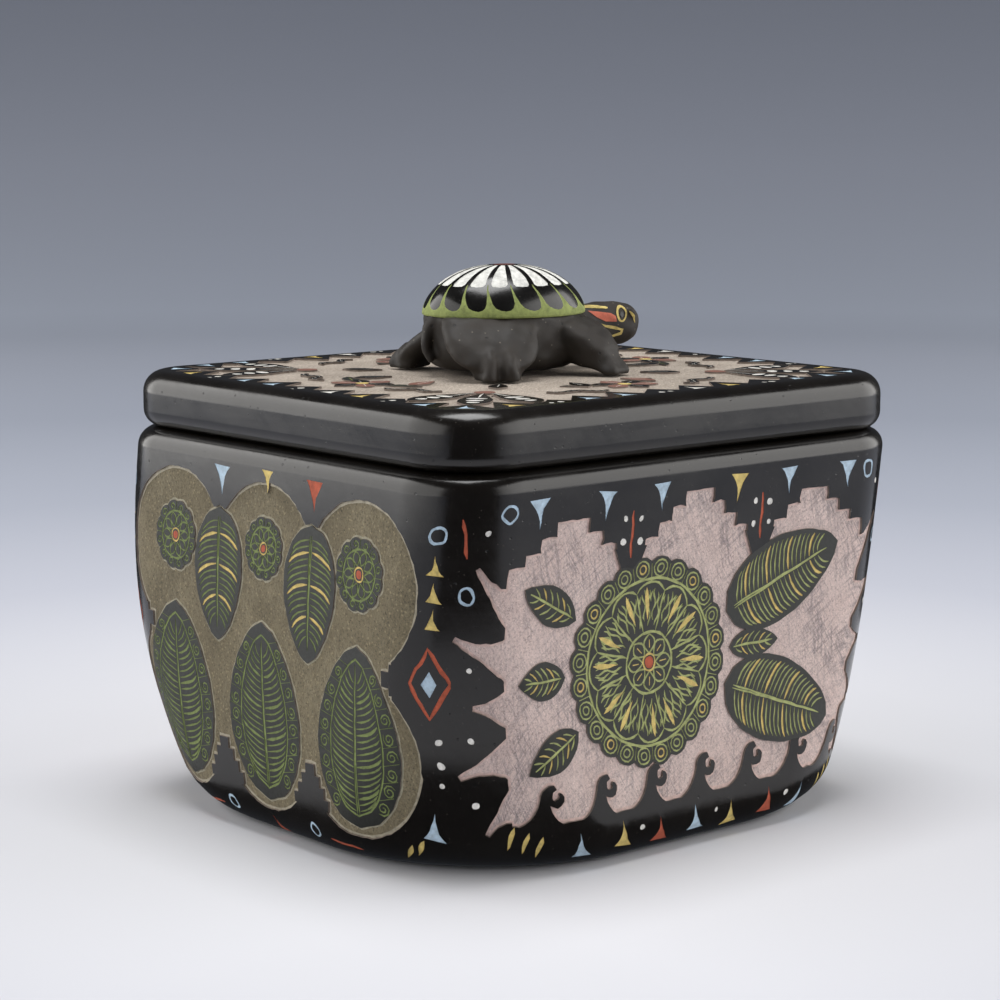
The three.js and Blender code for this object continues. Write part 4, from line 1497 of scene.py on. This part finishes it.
def backdrop_material():
    """Near white round the object, cooling to blue grey and darkening with distance: painted shade, where the
    light falls off.
    """
    n = Nodes("backdrop")
    apart = n.add("ShaderNodeSeparateXYZ", Vector=n.place).outputs
    square = [n.times(apart[axis], apart[axis]) for axis in ("X", "Y")]
    root = n.add("ShaderNodeMath", operation="SQRT")
    n.give(root, 0, n.sum(*square))
    ramp = n.add("ShaderNodeValToRGB")
    # Painted light and shade: these colours follow how the light falls on the table and wall, darkest far
    # from the object.
    falloff_stops = [(0.0, (220, 220, 223)), (0.08, (209, 210, 216)), (0.16, (183, 186, 197)),
             (0.26, (165, 170, 183)), (0.42, (156, 162, 176)), (0.6, (166, 172, 186)),
             (0.75, (169, 176, 190)), (0.9, (146, 151, 164)), (1.0, (121, 126, 138))]
    while len(ramp.color_ramp.elements) < len(falloff_stops):
        ramp.color_ramp.elements.new(0.5)
    for element, (place, colour) in zip(ramp.color_ramp.elements, falloff_stops):
        element.position = place
        element.color = linear(colour)
    n.give(ramp, "Fac", n.between(root.outputs[0], 0.0, 1.3))
    return n.finish(ramp.outputs["Color"], 0.9)


def stays_dark(ring, side):
    """Whether a face of the table or wall is hidden from reflections."""
    facing = 90 - math.degrees(VIEW_TURN)
    bearing = (360 * (side + 0.5) / TABLE_SIDES + facing + 360) % 360
    bearing -= 360 if bearing > 180 else 0
    ahead = OPENING[0] < bearing < OPENING[1] or abs(bearing) > BEHIND
    return ring < DARK_MIDDLE or ahead and ring not in LIT_RINGS


def make_backdrop():
    """A round table top that sweeps up into a wall: two objects, of which one shows in reflections."""
    edge, sweep, wall = 0.9, 0.5, 1.4
    profile = [(MM * radius, 0.0) for radius in TABLE_RINGS]
    angles = np.radians(np.linspace(6, 90, 15))
    profile += [(edge + sweep * math.sin(a), sweep - sweep * math.cos(a)) for a in angles]
    profile += [(wall, 0.9), (wall, 1.6)]
    turns = [2 * math.pi * k / TABLE_SIDES for k in range(TABLE_SIDES)]
    verts = [(r * math.cos(turn), r * math.sin(turn), z) for r, z in profile for turn in turns]
    shown, dark = [tuple(range(TABLE_SIDES))[::-1]], []
    for k, face in enumerate(bands(len(profile), TABLE_SIDES, closed=True, flip=True)):
        (dark if stays_dark(*divmod(k, TABLE_SIDES)) else shown).append(face)
    material = backdrop_material()
    for name, faces in (("table", shown), ("table_opening", dark)):
        mesh = bpy.data.meshes.new(name)
        mesh.from_pydata(verts, [], faces)
        mesh.materials.append(material)
        mesh.polygons.foreach_set("use_smooth", [True] * len(faces))
        part = place_object(name, mesh)
        part.visible_glossy = name == "table"


make_camera()
make_lights()
make_backdrop()

finishes = make_finishes()
box_body = make_box(finishes)
lid_body = make_lid(finishes)
carapace = make_shell(make_shell_finishes(finishes))
turtle_body = make_turtle(finishes)
head_marks = make_head_marks(turtle_body, make_mark_finishes())

turtle_nodes = [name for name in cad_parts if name.startswith("turtle_") and name != "turtle_shell"]
for piece, body, slot, nodes in (
    (box_body, "box", "burnished_clay", ["box_floor", "box_wall"]),
    (lid_body, "lid", "burnished_clay", ["lid_plate", "lid_flange"]),
    (carapace, "lid", "painted_shell_clay", ["turtle_shell"]),
    (turtle_body, "lid", "smoked_clay", turtle_nodes),
    (head_marks, "lid", "painted_shell_clay", []),
):
    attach(piece, body)
    if nodes:
        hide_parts(*nodes)
